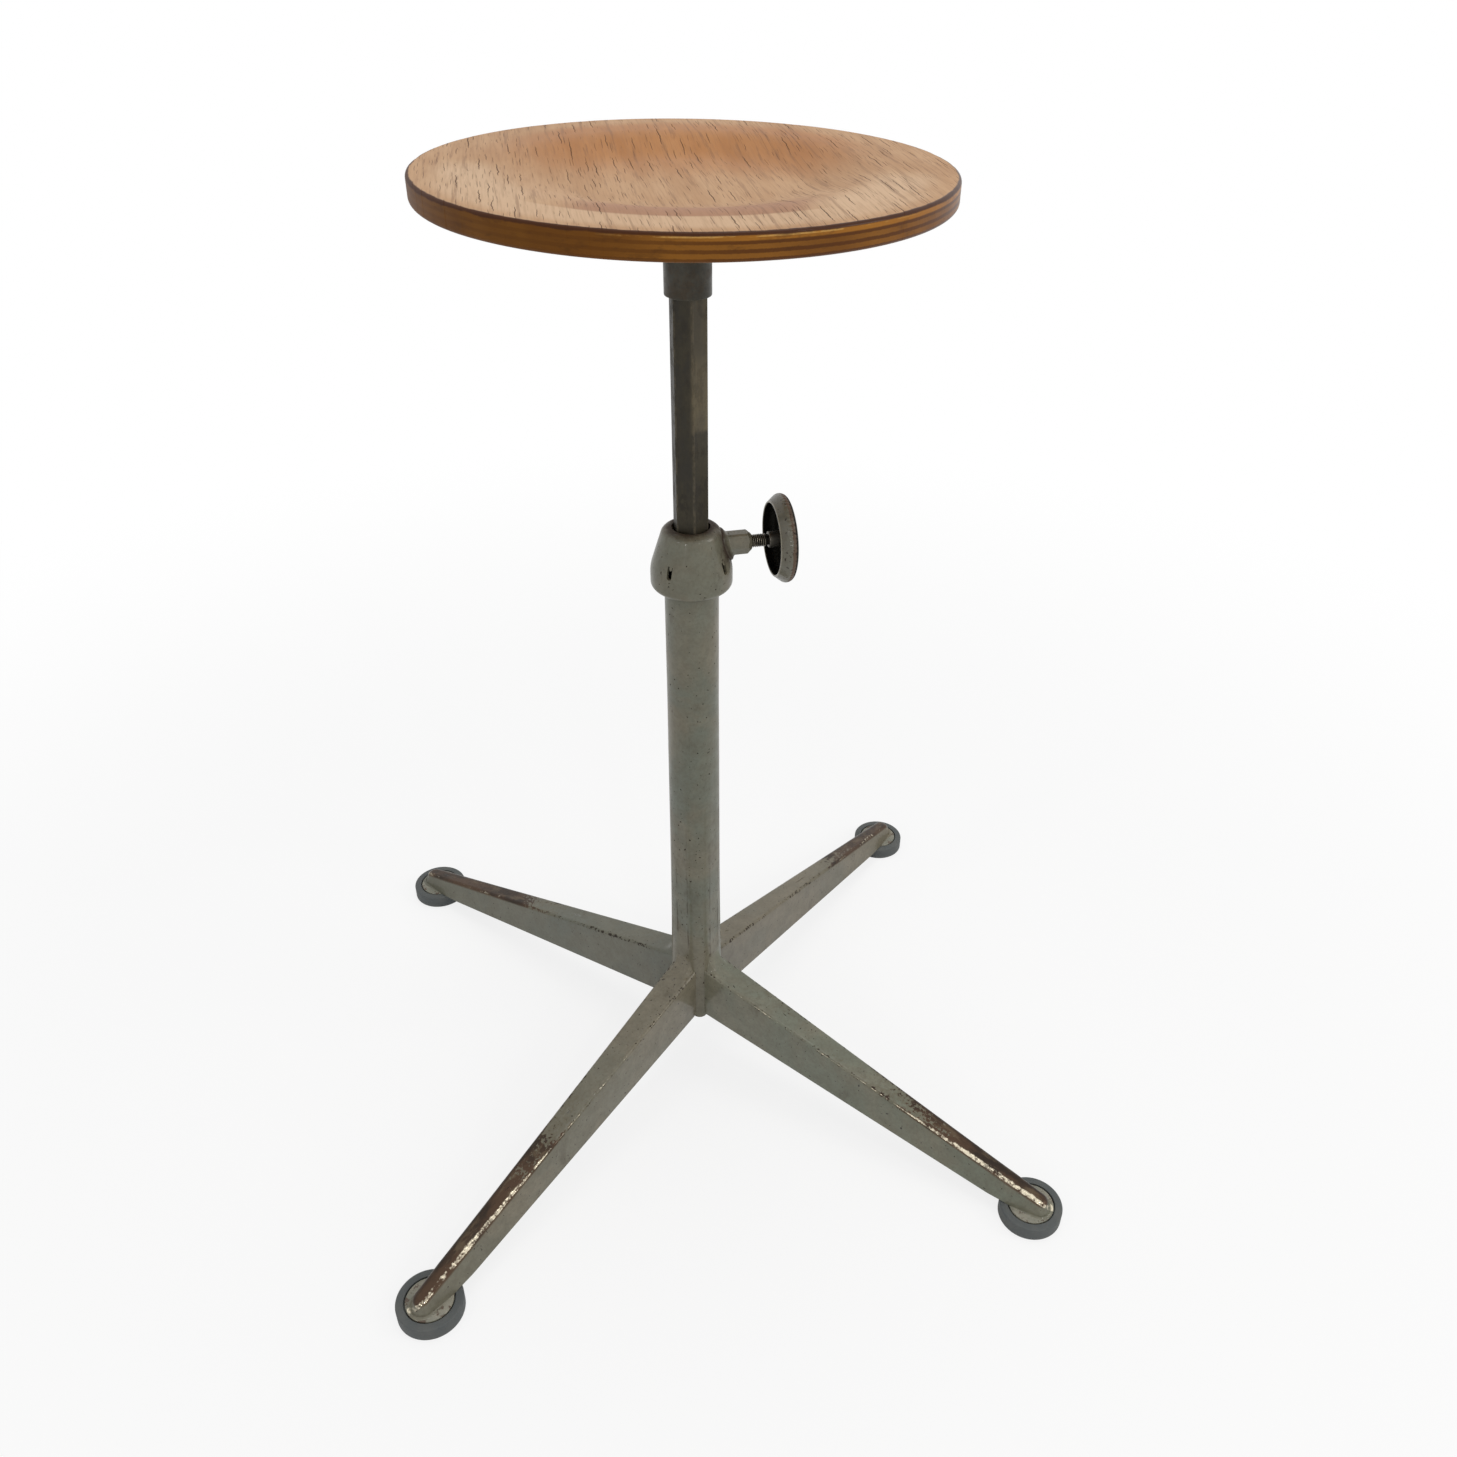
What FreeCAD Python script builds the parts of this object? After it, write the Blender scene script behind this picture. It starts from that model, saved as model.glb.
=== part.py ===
# Height-adjustable workshop stool: dished plywood seat on a sliding hexagonal stem,
# clamped by a handwheel in a round column with four pressed legs.
# Millimetres. Origin on the floor under the column's axis, +Z up, +X along the clamp screw.
import FreeCAD, Part
import math
import os
from FreeCAD import Vector

# Seat
seat_diameter = 350.0
seat_thickness = 16.0
seat_rim_height = 805.0
seat_dish_depth = 9.0
seat_dish_brow_radius = 119.0
seat_dish_floor_radius = 76.0
seat_dish_bend = 115.0
seat_edge_round = 3.0

# Seat plate, hub and screws
seat_plate_diameter = 110.0
seat_plate_thickness = 4.0
seat_screw_circle = 80.0
seat_screw_count = 4
seat_screw_diameter = 5.0
seat_screw_bite = 12.0
seat_screw_head_diameter = 9.6
seat_screw_head_height = 3.2
seat_screw_head_round = 1.9
seat_hub_diameter = 30.0
seat_hub_length = 22.0

# Swivel
spindle_diameter = 16.0
spindle_tail = 5.0
thrust_washer_diameter = 28.0
thrust_washer_thickness = 1.5
bush_wall = 2.0
bush_length = 14.5
bush_flange_diameter = 28.0
bush_flange_thickness = 2.0
clip_thickness = 1.0
clip_depth = 0.55
clip_rim = 1.75
clip_gap = 5.0
spindle_washer_thickness = 1.5
swivel_end_play = 0.2

# Stem collar
collar_diameter = 32.8
collar_socket_depth = 8.0
collar_cavity_length = 4.0
collar_cavity_diameter = 22.0
collar_top_chamfer = 1.0
collar_foot_chamfer = 0.8

# Stem
stem_across_flats = 24.0
stem_bore = 18.0
stop_travel_up = 83.0
stem_edge_round = 0.8
stop_length = 12.0
stop_pin_diameter = 4.0

# Column
column_diameter = 42.4
column_wall = 2.6
column_top_height = 520.0
column_foot_height = 48.0
column_round_down_to = 400.0
column_waist_height = 270.0
column_square_height = 138.0
column_waist_inset = 0.2
column_waist_corner = 18.6
column_square_inset = 0.8
column_square_corner = 13.5
column_foot_corner = 7.1
column_round_corner = 21.15

# Guide in the column's mouth
guide_length = 65.0
guide_flange_thickness = 3.0

# Clamp head
head_rise = 33.7
head_hole_diameter = 29.5
head_shoulder_radius = 21.7
head_shoulder_drop = 0.7
head_shoulder_round = 7.0
head_belly_diameter = 63.4
head_belly_drop = 32.3
head_belly_round = 34.0
head_hem_round = 4.8
head_hem_depth = 48.5
head_hem_drop = 1.8
head_wall = 2.5
head_shoulder_share = 0.6
head_belly_share = 0.3
slot_count = 4
slot_width = 4.2
slot_height = 10.0
slot_centre_drop = 27.2
slot_tab_length = 3.0
slot_tab_thickness = 1.4

# Clamp screw, its boss and pad
screw_drop = 17.2
screw_diameter = 10.0
screw_pitch = 1.5
screw_thread_depth = 0.75
thread_foot_share = 0.42
thread_crest_share = 0.08
thread_overlap = 0.1
screw_tip_diameter = 6.0
screw_tip_length = 6.5
pad_diameter = 9.0
pad_length = 9.0
pad_socket_depth = 5.0
pad_gap = 0.1
boss_across_flats = 17.0
boss_reach = 46.5
boss_root = 24.0
boss_chamfer_length = 4.0
boss_end_radius = 6.4
boss_foot_diameter = 26.0
boss_foot_thickness = 2.4

# Handwheel
wheel_lip_reach = 63.2
wheel_lip_diameter = 57.8
wheel_rim_diameter = 69.6
wheel_rim_reach = 70.5
wheel_face_reach = 76.5
wheel_rim_round = 5.0
wheel_face_setback = 1.8
wheel_sheet = 1.8
wheel_tooth_count = 60
wheel_tooth_depth = 0.7
wheel_tooth_overrun = 2.0
wheel_seat_diameter = 8.0
hub_reach = 60.3
hub_diameter = 12.4
nut_across_flats = 13.0
nut_thickness = 4.0
screw_end_beyond_nut = 1.5

# Legs
leg_count = 4
leg_turn = -3.6
leg_sheet = 2.0
foot_circle_radius = 361.0
leg_root_width = 26.8
leg_root_height = 106.0
leg_root_underside = 49.5
leg_tip_beyond_foot = 13.0
leg_tip_height = 24.5
leg_tip_width = 13.0
leg_tip_base_width = 21.0
leg_skirt_width = 26.8
leg_edge_round = 2.6
leg_inner_bend = 0.5
leg_level_run = 36.0
leg_curl_radius = 14.0
leg_curl_top_width = 15.0
leg_curl_shoulder = 2.0
leg_curl_overlap = 4.0
leg_loft_start = 5.0
leg_flare_radius = 2.6

# Feet
foot_plate_diameter = 39.2
foot_plate_thickness = 3.0
foot_height = 13.2
rubber_diameter = 54.5
rubber_gap = 1.0
rubber_top_round = 1.2
rubber_foot_chamfer = 0.8
foot_screw_diameter = 6.0
foot_screw_head_diameter = 12.0
foot_screw_head_height = 3.0
foot_screw_recess_depth = 4.2
foot_screw_recess_diameter = 16.0
foot_nut_across_flats = 10.0
foot_nut_thickness = 5.0
foot_screw_end = 2.0

# Clearances
running_clearance = 0.05
loose_clearance = 0.3
assembly_clearance = 0.05
guide_clearance = 0.1
leg_over_rubber = 1.0
cut_margin = 10.0
cut_overlap = 1.0

# Heights worked out from the sizes above
floor_of_dish = seat_rim_height - seat_dish_depth
seat_underside = floor_of_dish - seat_thickness
plate_underside = seat_underside - seat_plate_thickness
hub_underside = plate_underside - seat_hub_length
thrust_underside = hub_underside - thrust_washer_thickness
collar_top = thrust_underside - bush_flange_thickness
bush_underside = collar_top - bush_length
stem_top = bush_underside - collar_cavity_length
collar_underside = stem_top - collar_socket_depth
guide_underside = column_top_height - guide_length
stem_foot = guide_underside - stop_travel_up - stop_length
spindle_washer_top = bush_underside - swivel_end_play
clip_top = spindle_washer_top - spindle_washer_thickness
spindle_foot = clip_top - clip_thickness - spindle_tail + swivel_end_play
head_top_height = column_top_height + head_rise
head_belly_height = head_top_height - head_belly_drop
head_hem_height = head_top_height - head_hem_depth
slot_centre_height = head_top_height - slot_centre_drop
screw_height = head_top_height - screw_drop

# Radii that fit each other
spindle_radius = spindle_diameter / 2
bush_bore_radius = spindle_radius + running_clearance
bush_radius = bush_bore_radius + bush_wall
column_radius = column_diameter / 2
column_bore_radius = column_radius - column_wall
stop_radius = column_bore_radius - column_square_inset - loose_clearance
screw_radius = screw_diameter / 2
wheel_bore_radius = wheel_seat_diameter / 2 + assembly_clearance
pad_face = stem_across_flats / 2 + pad_gap
pad_socket_face = pad_face + pad_length - pad_socket_depth
tip_end = pad_socket_face + assembly_clearance
tip_root = tip_end + screw_tip_length
leg_root_reach = column_radius - column_square_inset
foot_cap_reach = foot_circle_radius + leg_tip_beyond_foot - leg_tip_width / 2
rubber_seat = foot_height - foot_plate_thickness

X_AXIS = Vector(1, 0, 0)
Y_AXIS = Vector(0, 1, 0)
Z_AXIS = Vector(0, 0, 1)
ORIGIN = Vector(0, 0, 0)


# Outlines and simple solids
def rounded_wire(points, radii):
    """Closed wire through the points, each corner rounded by its own radius."""
    edges = []
    ends = []
    count = len(points)
    for i in range(count):
        here = points[i]
        back = (points[i - 1] - here).normalize()
        ahead = (points[(i + 1) % count] - here).normalize()
        if radii[i] == 0:
            ends.append((here, here, None))
            continue
        half_angle = back.getAngle(ahead) / 2
        run = radii[i] / math.tan(half_angle)
        inward = (back + ahead).normalize()
        middle = here + inward * (radii[i] / math.sin(half_angle) - radii[i])
        ends.append((here + back * run, here + ahead * run, middle))
    for i in range(count):
        start, finish, middle = ends[i]
        following = ends[(i + 1) % count][0]
        if middle is not None:
            edges.append(Part.Arc(start, middle, finish).toShape())
        if finish.distanceToPoint(following) > 1e-6:
            edges.append(Part.LineSegment(finish, following).toShape())
    return Part.Wire(edges)


def turned(points, radii=None, axis=Z_AXIS, origin=ORIGIN):
    """Solid of revolution. Points are (radius, height along the axis)."""
    if radii is None:
        radii = [0] * len(points)
    outward = X_AXIS if axis is Z_AXIS else Z_AXIS
    flat = [origin + outward * r + axis * h for r, h in points]
    face = Part.Face(rounded_wire(flat, radii))
    return face.revolve(origin, axis, 360)


def disc(radius, low, high):
    return Part.makeCylinder(radius, high - low, Vector(0, 0, low))


def tube(outer, inner, low, high):
    return disc(outer, low, high).cut(disc(inner, low - cut_margin, high + cut_margin))


def rod_x(radius, start, end):
    return Part.makeCylinder(radius, end - start, Vector(start, 0, screw_height), X_AXIS)


def hexagon(across_flats, low, high):
    """Upright hexagonal prism with a flat facing +X."""
    corner = across_flats / math.sqrt(3)
    points = []
    for i in range(7):
        angle = math.radians(30 + 60 * i)
        points.append(Vector(corner * math.cos(angle), corner * math.sin(angle), low))
    return Part.Face(Part.makePolygon(points)).extrude(Vector(0, 0, high - low))


def hexagon_x(across_flats, start, end):
    """Hexagonal prism along the clamp screw, with a corner on top."""
    prism = hexagon(across_flats, 0, end - start)
    prism.rotate(ORIGIN, Y_AXIS, 90)
    prism.rotate(ORIGIN, X_AXIS, 90)
    prism.translate(Vector(start, 0, screw_height))
    return prism


def around(shape, count, first_angle=0.0):
    """Copies of a shape turned evenly about the column's axis."""
    copies = []
    for i in range(count):
        copy = shape.copy()
        copy.rotate(ORIGIN, Z_AXIS, first_angle + 360.0 * i / count)
        copies.append(copy)
    return copies


# Seat
def make_seat():
    radius = seat_diameter / 2
    underside = seat_rim_height - seat_thickness
    points = [
        Vector(0, 0, floor_of_dish),
        Vector(seat_dish_floor_radius, 0, floor_of_dish),
        Vector(seat_dish_brow_radius, 0, seat_rim_height),
        Vector(radius, 0, seat_rim_height),
        Vector(radius, 0, underside),
        Vector(seat_dish_brow_radius, 0, underside),
        Vector(seat_dish_floor_radius, 0, seat_underside),
        Vector(0, 0, seat_underside),
    ]
    bend = seat_dish_bend
    radii = [0, bend, bend, seat_edge_round, seat_edge_round, bend, bend, 0]
    seat = Part.Face(rounded_wire(points, radii)).revolve(ORIGIN, Z_AXIS, 360)
    pilot = Part.makeCylinder(seat_screw_diameter / 2, seat_screw_bite,
                              Vector(seat_screw_circle / 2, 0, seat_underside))
    return seat.cut(Part.makeCompound(around(pilot, seat_screw_count, 45)))


def make_seat_plate():
    plate = disc(seat_plate_diameter / 2, plate_underside, seat_underside)
    hole_radius = seat_screw_diameter / 2 + loose_clearance
    hole = Part.makeCylinder(hole_radius, seat_plate_thickness + 2 * cut_margin,
                             Vector(seat_screw_circle / 2, 0, plate_underside - cut_margin))
    bore = disc(spindle_radius + assembly_clearance, plate_underside - cut_margin, seat_underside)
    return plate.cut(Part.makeCompound(around(hole, seat_screw_count, 45) + [bore]))


def make_seat_screws():
    shank_radius = seat_screw_diameter / 2
    head_radius = seat_screw_head_diameter / 2
    head_low = plate_underside - seat_screw_head_height
    tip = seat_underside + seat_screw_bite
    points = [(0, head_low), (head_radius, head_low), (head_radius, plate_underside),
              (shank_radius, plate_underside), (shank_radius, tip - shank_radius), (0, tip)]
    screw = turned(points, [0, seat_screw_head_round, 0, 0, 0, 0])
    screw.translate(Vector(seat_screw_circle / 2, 0, 0))
    return Part.makeCompound(around(screw, seat_screw_count, 45))


def make_seat_hub():
    bore = spindle_radius + assembly_clearance
    return tube(seat_hub_diameter / 2, bore, hub_underside, plate_underside)


# Swivel
def make_swivel_spindle():
    groove = spindle_radius - clip_depth
    clip_low = clip_top - clip_thickness
    points = [(0, spindle_foot), (spindle_radius, spindle_foot), (spindle_radius, clip_low),
              (groove, clip_low), (groove, clip_top), (spindle_radius, clip_top),
              (spindle_radius, seat_underside), (0, seat_underside)]
    return turned(points)


def make_thrust_washer():
    bore = spindle_radius + loose_clearance
    return tube(thrust_washer_diameter / 2, bore, thrust_underside, hub_underside)


def make_swivel_bush():
    flange = bush_flange_diameter / 2
    points = [(bush_bore_radius, bush_underside), (bush_radius, bush_underside),
              (bush_radius, collar_top), (flange, collar_top),
              (flange, thrust_underside), (bush_bore_radius, thrust_underside)]
    return turned(points)


def make_spindle_washer():
    rim = collar_cavity_diameter / 2 - loose_clearance
    bore = spindle_radius + assembly_clearance
    return tube(rim, bore, clip_top, spindle_washer_top)


def make_spindle_clip():
    inner = spindle_radius - clip_depth
    ring = tube(inner + clip_rim, inner, clip_top - clip_thickness, clip_top)
    gap = Part.makeBox(spindle_diameter, clip_gap, clip_thickness + 2 * cut_margin,
                       Vector(0, -clip_gap / 2, clip_top - clip_thickness - cut_margin))
    return ring.cut(gap)


# Stem
def make_stem_collar():
    rim = collar_diameter / 2
    foot_rim = rim - collar_foot_chamfer
    top_rim = rim - collar_top_chamfer
    points = [(0, collar_underside), (foot_rim, collar_underside),
              (rim, collar_underside + collar_foot_chamfer),
              (rim, collar_top - collar_top_chamfer), (top_rim, collar_top), (0, collar_top)]
    collar = turned(points)
    collar = collar.cut(hexagon(stem_across_flats, collar_underside - cut_margin, stem_top))
    collar = collar.cut(disc(collar_cavity_diameter / 2, stem_top - cut_overlap, bush_underside))
    return collar.cut(disc(bush_radius, bush_underside - cut_overlap, collar_top + cut_margin))


def make_stem():
    bar = hexagon(stem_across_flats, stem_foot, stem_top)
    corners = [edge for edge in bar.Edges if edge.Length > (stem_top - stem_foot) / 2]
    bar = bar.makeFillet(stem_edge_round, corners)
    bar = bar.cut(disc(stem_bore / 2, stem_foot - cut_margin, stem_top + cut_margin))
    return bar.cut(stop_pin_rod(column_radius))


def stop_pin_rod(reach):
    """Cross pin through the stem and its stop ring."""
    centre = Vector(0, -reach, stem_foot + stop_length / 2)
    return Part.makeCylinder(stop_pin_diameter / 2, 2 * reach, centre, Y_AXIS)


def make_stem_stop():
    ring = disc(stop_radius, stem_foot, stem_foot + stop_length)
    ring = ring.cut(hexagon(stem_across_flats, stem_foot - cut_margin, stem_top))
    return ring.cut(stop_pin_rod(column_radius))


def make_stem_stop_pin():
    return stop_pin_rod(stop_radius - loose_clearance)


# Column
def column_section(half_flat, corner, height):
    """Rounded square whose flats face the legs."""
    points = []
    for i in range(4):
        angle = math.radians(45 + 90 * i)
        reach = half_flat * math.sqrt(2)
        points.append(Vector(reach * math.cos(angle), reach * math.sin(angle), height))
    wire = rounded_wire(points, [corner] * 4)
    wire.rotate(ORIGIN, Z_AXIS, 45 + leg_turn)
    return wire


def column_form(inset):
    """Outside of the column, or its bore when inset by the wall."""
    round_half = column_radius - inset
    waist_half = column_radius - column_waist_inset - inset
    square_half = column_radius - column_square_inset - inset
    sections = [
        column_section(square_half, column_foot_corner - inset, column_foot_height),
        column_section(square_half, column_square_corner - inset, column_square_height),
        column_section(waist_half, column_waist_corner - inset, column_waist_height),
        column_section(round_half, column_round_corner - inset, column_round_down_to),
    ]
    lower = Part.makeLoft(sections, True, False)
    upper_face = Part.Face(column_section(round_half, column_round_corner - inset,
                                          column_round_down_to))
    upper = upper_face.extrude(Vector(0, 0, column_top_height - column_round_down_to))
    return lower.fuse(upper)


def make_column():
    return column_form(0).cut(column_form(column_wall))


def make_stem_guide():
    rim = column_bore_radius - assembly_clearance
    sleeve = disc(rim, guide_underside, column_top_height)
    flange = disc(column_radius, column_top_height, column_top_height + guide_flange_thickness)
    bore = hexagon(stem_across_flats + 2 * guide_clearance,
                   guide_underside - cut_margin,
                   column_top_height + guide_flange_thickness + cut_margin)
    return sleeve.fuse(flange).cut(bore).removeSplitter()


# Clamp head
def bell(inset, offset=0.0):
    """Solid bell form. Inset gives the inside of the wall, offset a skin outside it."""
    step = offset - inset
    shoulder = head_shoulder_radius + head_shoulder_share * step
    belly = head_belly_diameter / 2 + step
    top = head_top_height + step
    hem = head_hem_height - step
    low = hem - head_hem_drop
    belly_height = head_belly_height + head_belly_share * step
    points = [(0, top), (shoulder, top - head_shoulder_drop), (belly, belly_height), (belly, hem),
              (column_radius + head_hem_drop, low), (0, low)]
    radii = [0, head_shoulder_round + step, head_belly_round, head_hem_round + step, 0, 0]
    return turned(points, radii)


def slot_shape():
    """One round-ended slot through the bell's wall, facing +X."""
    depth = head_belly_diameter / 2 + cut_margin
    radius = slot_width / 2
    low = slot_centre_height - slot_height / 2
    end = Part.makeCylinder(radius, depth, Vector(0, 0, low + radius), X_AXIS)
    straight = Part.makeBox(depth, slot_width, slot_height - radius,
                            Vector(0, -radius, low + radius))
    return end.fuse(straight)


def slot_tab():
    """Tongue lanced from the slot and bent inwards at its top."""
    wall_reach = head_belly_diameter / 2 - head_wall - slot_tab_length
    top = slot_centre_height + slot_height / 2
    return Part.makeBox(slot_tab_length + head_wall / 2, slot_width, slot_tab_thickness,
                        Vector(wall_reach, -slot_width / 2, top - slot_tab_thickness))


def make_clamp_head():
    head = bell(0).cut(bell(head_wall))
    low = head_hem_height - head_hem_drop - cut_margin
    head = head.cut(disc(column_radius + assembly_clearance, low, column_top_height))
    head = head.cut(disc(head_hole_diameter / 2, column_top_height, head_top_height + cut_margin))
    head = head.cut(Part.makeCompound(around(slot_shape(), slot_count, 45)))
    tabs = slot_tab().common(bell(head_wall / 2))
    head = head.fuse(around(tabs, slot_count, 45))
    return head.cut(rod_x(boss_across_flats / 2, 0, head_belly_diameter)).removeSplitter()


def make_clamp_boss():
    prism = hexagon_x(boss_across_flats, boss_root, boss_reach)
    corner = boss_across_flats / math.sqrt(3)
    cone = turned([(0, boss_root - cut_margin), (corner, boss_root - cut_margin),
                   (corner, boss_reach - boss_chamfer_length), (boss_end_radius, boss_reach),
                   (0, boss_reach)], axis=X_AXIS, origin=Vector(0, 0, screw_height))
    prism = prism.common(cone).cut(bell(0))
    spigot_radius = boss_across_flats / 2 - assembly_clearance
    spigot = rod_x(spigot_radius, boss_root, boss_reach - boss_chamfer_length)
    foot = rod_x(boss_foot_diameter / 2, boss_root, boss_reach)
    foot = foot.common(bell(0, boss_foot_thickness)).cut(bell(0))
    boss = prism.fuse([spigot, foot])
    bore = rod_x(screw_radius + running_clearance, 0, boss_reach + cut_margin)
    return boss.cut(bore).removeSplitter()


# Clamp screw and pad
def make_clamp_pad():
    pad = rod_x(pad_diameter / 2, pad_face, pad_face + pad_length)
    socket = rod_x(screw_tip_diameter / 2 + running_clearance, pad_socket_face,
                   pad_face + pad_length + cut_margin)
    return pad.cut(socket)


def make_clamp_screw():
    nut_end = wheel_face_reach + nut_thickness
    root_radius = screw_radius - screw_thread_depth
    tip = rod_x(screw_tip_diameter / 2, tip_end, tip_root)
    tip = tip.fuse(rod_x(root_radius, tip_root, hub_reach))
    tail = rod_x(wheel_seat_diameter / 2, hub_reach, nut_end + screw_end_beyond_nut)
    helix = Part.makeHelix(screw_pitch, hub_reach - tip_root - screw_pitch, root_radius)
    half = screw_pitch * thread_foot_share
    crest = screw_pitch * thread_crest_share
    inner = root_radius - thread_overlap
    ridge = Part.makePolygon([Vector(inner, 0, -half), Vector(screw_radius, 0, -crest),
                              Vector(screw_radius, 0, crest), Vector(inner, 0, half),
                              Vector(inner, 0, -half)])
    thread = Part.Wire(helix.Edges).makePipeShell([ridge], True, True)
    thread.rotate(ORIGIN, Y_AXIS, 90)
    thread.translate(Vector(tip_root + screw_pitch / 2, 0, screw_height))
    return tip.fuse([tail, thread]).removeSplitter()


# Handwheel
def wheel_form(inset):
    """Turned outline of the wheel's cup, or of its inside."""
    lip = wheel_lip_diameter / 2 - inset
    rim = wheel_rim_diameter / 2 - inset
    face = wheel_face_reach - inset
    open_end = wheel_lip_reach - (cut_margin if inset else 0)
    slope = (wheel_rim_diameter - wheel_lip_diameter) / 2 / (wheel_rim_reach - wheel_lip_reach)
    open_radius = lip - slope * (wheel_lip_reach - open_end)
    points = [(0, open_end), (open_radius, open_end), (rim, wheel_rim_reach),
              (rim - wheel_face_setback, face), (0, face)]
    radii = [0, 0, wheel_rim_round - inset, wheel_rim_round - inset, 0]
    return turned(points, radii, X_AXIS, Vector(0, 0, screw_height))


def make_handwheel():
    wheel = wheel_form(0).cut(wheel_form(wheel_sheet))
    wheel = wheel.cut(rod_x(wheel_bore_radius, 0, wheel_face_reach + cut_margin))
    start = wheel_rim_reach - wheel_tooth_overrun
    length = wheel_face_reach + wheel_tooth_overrun - start
    crown = Vector(start, 0, screw_height + wheel_rim_diameter / 2)
    notches = []
    for i in range(wheel_tooth_count):
        notch = Part.makeCylinder(wheel_tooth_depth, length, crown, X_AXIS)
        notch.rotate(Vector(0, 0, screw_height), X_AXIS, 360.0 * i / wheel_tooth_count)
        notches.append(notch)
    return wheel.cut(Part.makeCompound(notches))


def make_handwheel_hub():
    hub = rod_x(hub_diameter / 2, hub_reach, wheel_face_reach - wheel_sheet)
    return hub.cut(rod_x(wheel_bore_radius, 0, wheel_face_reach))


def make_handwheel_nut():
    nut = hexagon_x(nut_across_flats, wheel_face_reach, wheel_face_reach + nut_thickness)
    return nut.cut(rod_x(wheel_bore_radius, 0, wheel_face_reach + 2 * nut_thickness))


# Legs, made along +X and then turned
def leg_top(reach):
    tip_reach = foot_circle_radius + leg_tip_beyond_foot
    share = (reach - leg_root_reach) / (tip_reach - leg_root_reach)
    return leg_root_height + share * (leg_tip_height - leg_root_height)


def leg_underside(reach):
    level_reach = foot_circle_radius - leg_level_run
    share = (reach - leg_root_reach) / (level_reach - leg_root_reach)
    return leg_root_underside + share * (foot_height + leg_over_rubber - leg_root_underside)


def leg_corner(inset):
    """Radius of the sheet's bend, outside or inside."""
    return max(leg_edge_round - inset, leg_inner_bend)


def leg_section(reach, skirt_width, inset):
    """Outline across the leg: flat top, sloping walls, and straight down from their foot."""
    share = (reach - leg_root_reach) / (foot_cap_reach - leg_root_reach)
    half_top = (leg_root_width + share * (leg_tip_width - leg_root_width)) / 2 - inset
    half_skirt = skirt_width / 2 - inset
    top = leg_top(reach) - inset
    hem = max(leg_underside(reach), foot_height)
    corners = [(-half_skirt, 0), (-half_skirt, hem), (-half_top, top),
               (half_top, top), (half_skirt, hem), (half_skirt, 0)]
    points = [Vector(reach, y, z) for y, z in corners]
    return rounded_wire(points, [0, 0, leg_corner(inset), leg_corner(inset), 0, 0])


def leg_cap(inset):
    """Round end of the leg: half of its last section, turned half a circle."""
    top = leg_top(foot_cap_reach) - inset
    half_base = leg_tip_base_width / 2 - inset
    half_top = leg_tip_width / 2 - inset
    outline = [(0, 0), (half_base, 0), (half_base, foot_height), (half_top, top), (0, top)]
    points = [Vector(foot_cap_reach, y, z) for y, z in outline]
    face = Part.Face(rounded_wire(points, [0, 0, 0, leg_corner(inset), 0]))
    return face.revolve(Vector(foot_cap_reach, 0, 0), Z_AXIS, -180)


def leg_form(inset):
    """Outside of the leg, or its hollow when inset by the sheet."""
    narrow_from = foot_circle_radius - foot_plate_diameter / 2
    sections = [leg_section(leg_loft_start, leg_skirt_width, inset),
                leg_section(narrow_from, leg_skirt_width, inset),
                leg_section(foot_cap_reach, leg_tip_base_width, inset)]
    return Part.makeLoft(sections, True, True).fuse(leg_cap(inset))


def leg_curl():
    """The top sheet's root, curled up the column's flat in a quarter round."""
    radius = leg_curl_radius
    low = leg_top(leg_root_reach + radius)
    high = leg_root_height + radius
    half_low = leg_root_width / 2 - leg_edge_round
    half_high = leg_curl_top_width / 2
    foot = low - leg_curl_overlap
    shoulder = low + leg_curl_shoulder
    block = Part.makeBox(leg_root_reach + radius, leg_root_width, high - foot,
                         Vector(0, -leg_root_width / 2, foot))
    hollow = Part.makeCylinder(radius, 2 * leg_root_width,
                               Vector(leg_root_reach + radius, -leg_root_width, high), Y_AXIS)
    above = Part.makeBox(2 * radius, 2 * leg_root_width, radius,
                         Vector(leg_root_reach, -leg_root_width, high))
    below = foot - leg_curl_overlap
    outline = [(-half_low, below), (half_low, below), (half_low, shoulder), (half_high, high),
               (-half_high, high), (-half_low, shoulder), (-half_low, below)]
    face = Part.Face(Part.makePolygon([Vector(0, y, z) for y, z in outline]))
    taper = face.extrude(Vector(leg_root_reach + radius, 0, 0))
    return block.cut(hollow).cut(above).common(taper)


def leg_flare():
    """Small round of sheet from the cap's foot out on to the foot plate."""
    base = leg_tip_base_width / 2
    high = foot_height + leg_flare_radius
    wide = base + leg_flare_radius
    ring = turned([(0, foot_height), (wide, foot_height), (wide, high), (0, high)])
    groove = Part.makeTorus(wide, leg_flare_radius, Vector(0, 0, high), Z_AXIS)
    ring = ring.cut(groove)
    ring.translate(Vector(foot_cap_reach, 0, 0))
    front = Part.makeBox(4 * base, 4 * base, 4 * base, Vector(foot_cap_reach, -2 * base, 0))
    return ring.common(front)


def leg_underside_cutter():
    """Everything below the leg's sloping hem, level run and foot plate."""
    level_reach = foot_circle_radius - leg_level_run
    plate_edge = foot_circle_radius - foot_plate_diameter / 2 + leg_over_rubber
    far = foot_circle_radius + rubber_diameter
    low = -cut_margin
    level = foot_height + leg_over_rubber
    side = leg_skirt_width
    outline = [(0, leg_underside(0)), (level_reach, level), (plate_edge, level),
               (plate_edge, foot_height), (far, foot_height), (far, low), (0, low),
               (0, leg_underside(0))]
    face = Part.Face(Part.makePolygon([Vector(x, -side, z) for x, z in outline]))
    return face.extrude(Vector(0, 2 * side, 0))


def make_leg():
    leg = leg_form(0).fuse([leg_curl(), leg_flare()]).cut(leg_form(leg_sheet))
    leg = leg.cut(leg_underside_cutter())
    column = column_form(0)
    column.rotate(ORIGIN, Z_AXIS, -45 - leg_turn)
    return leg.cut(column)


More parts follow.
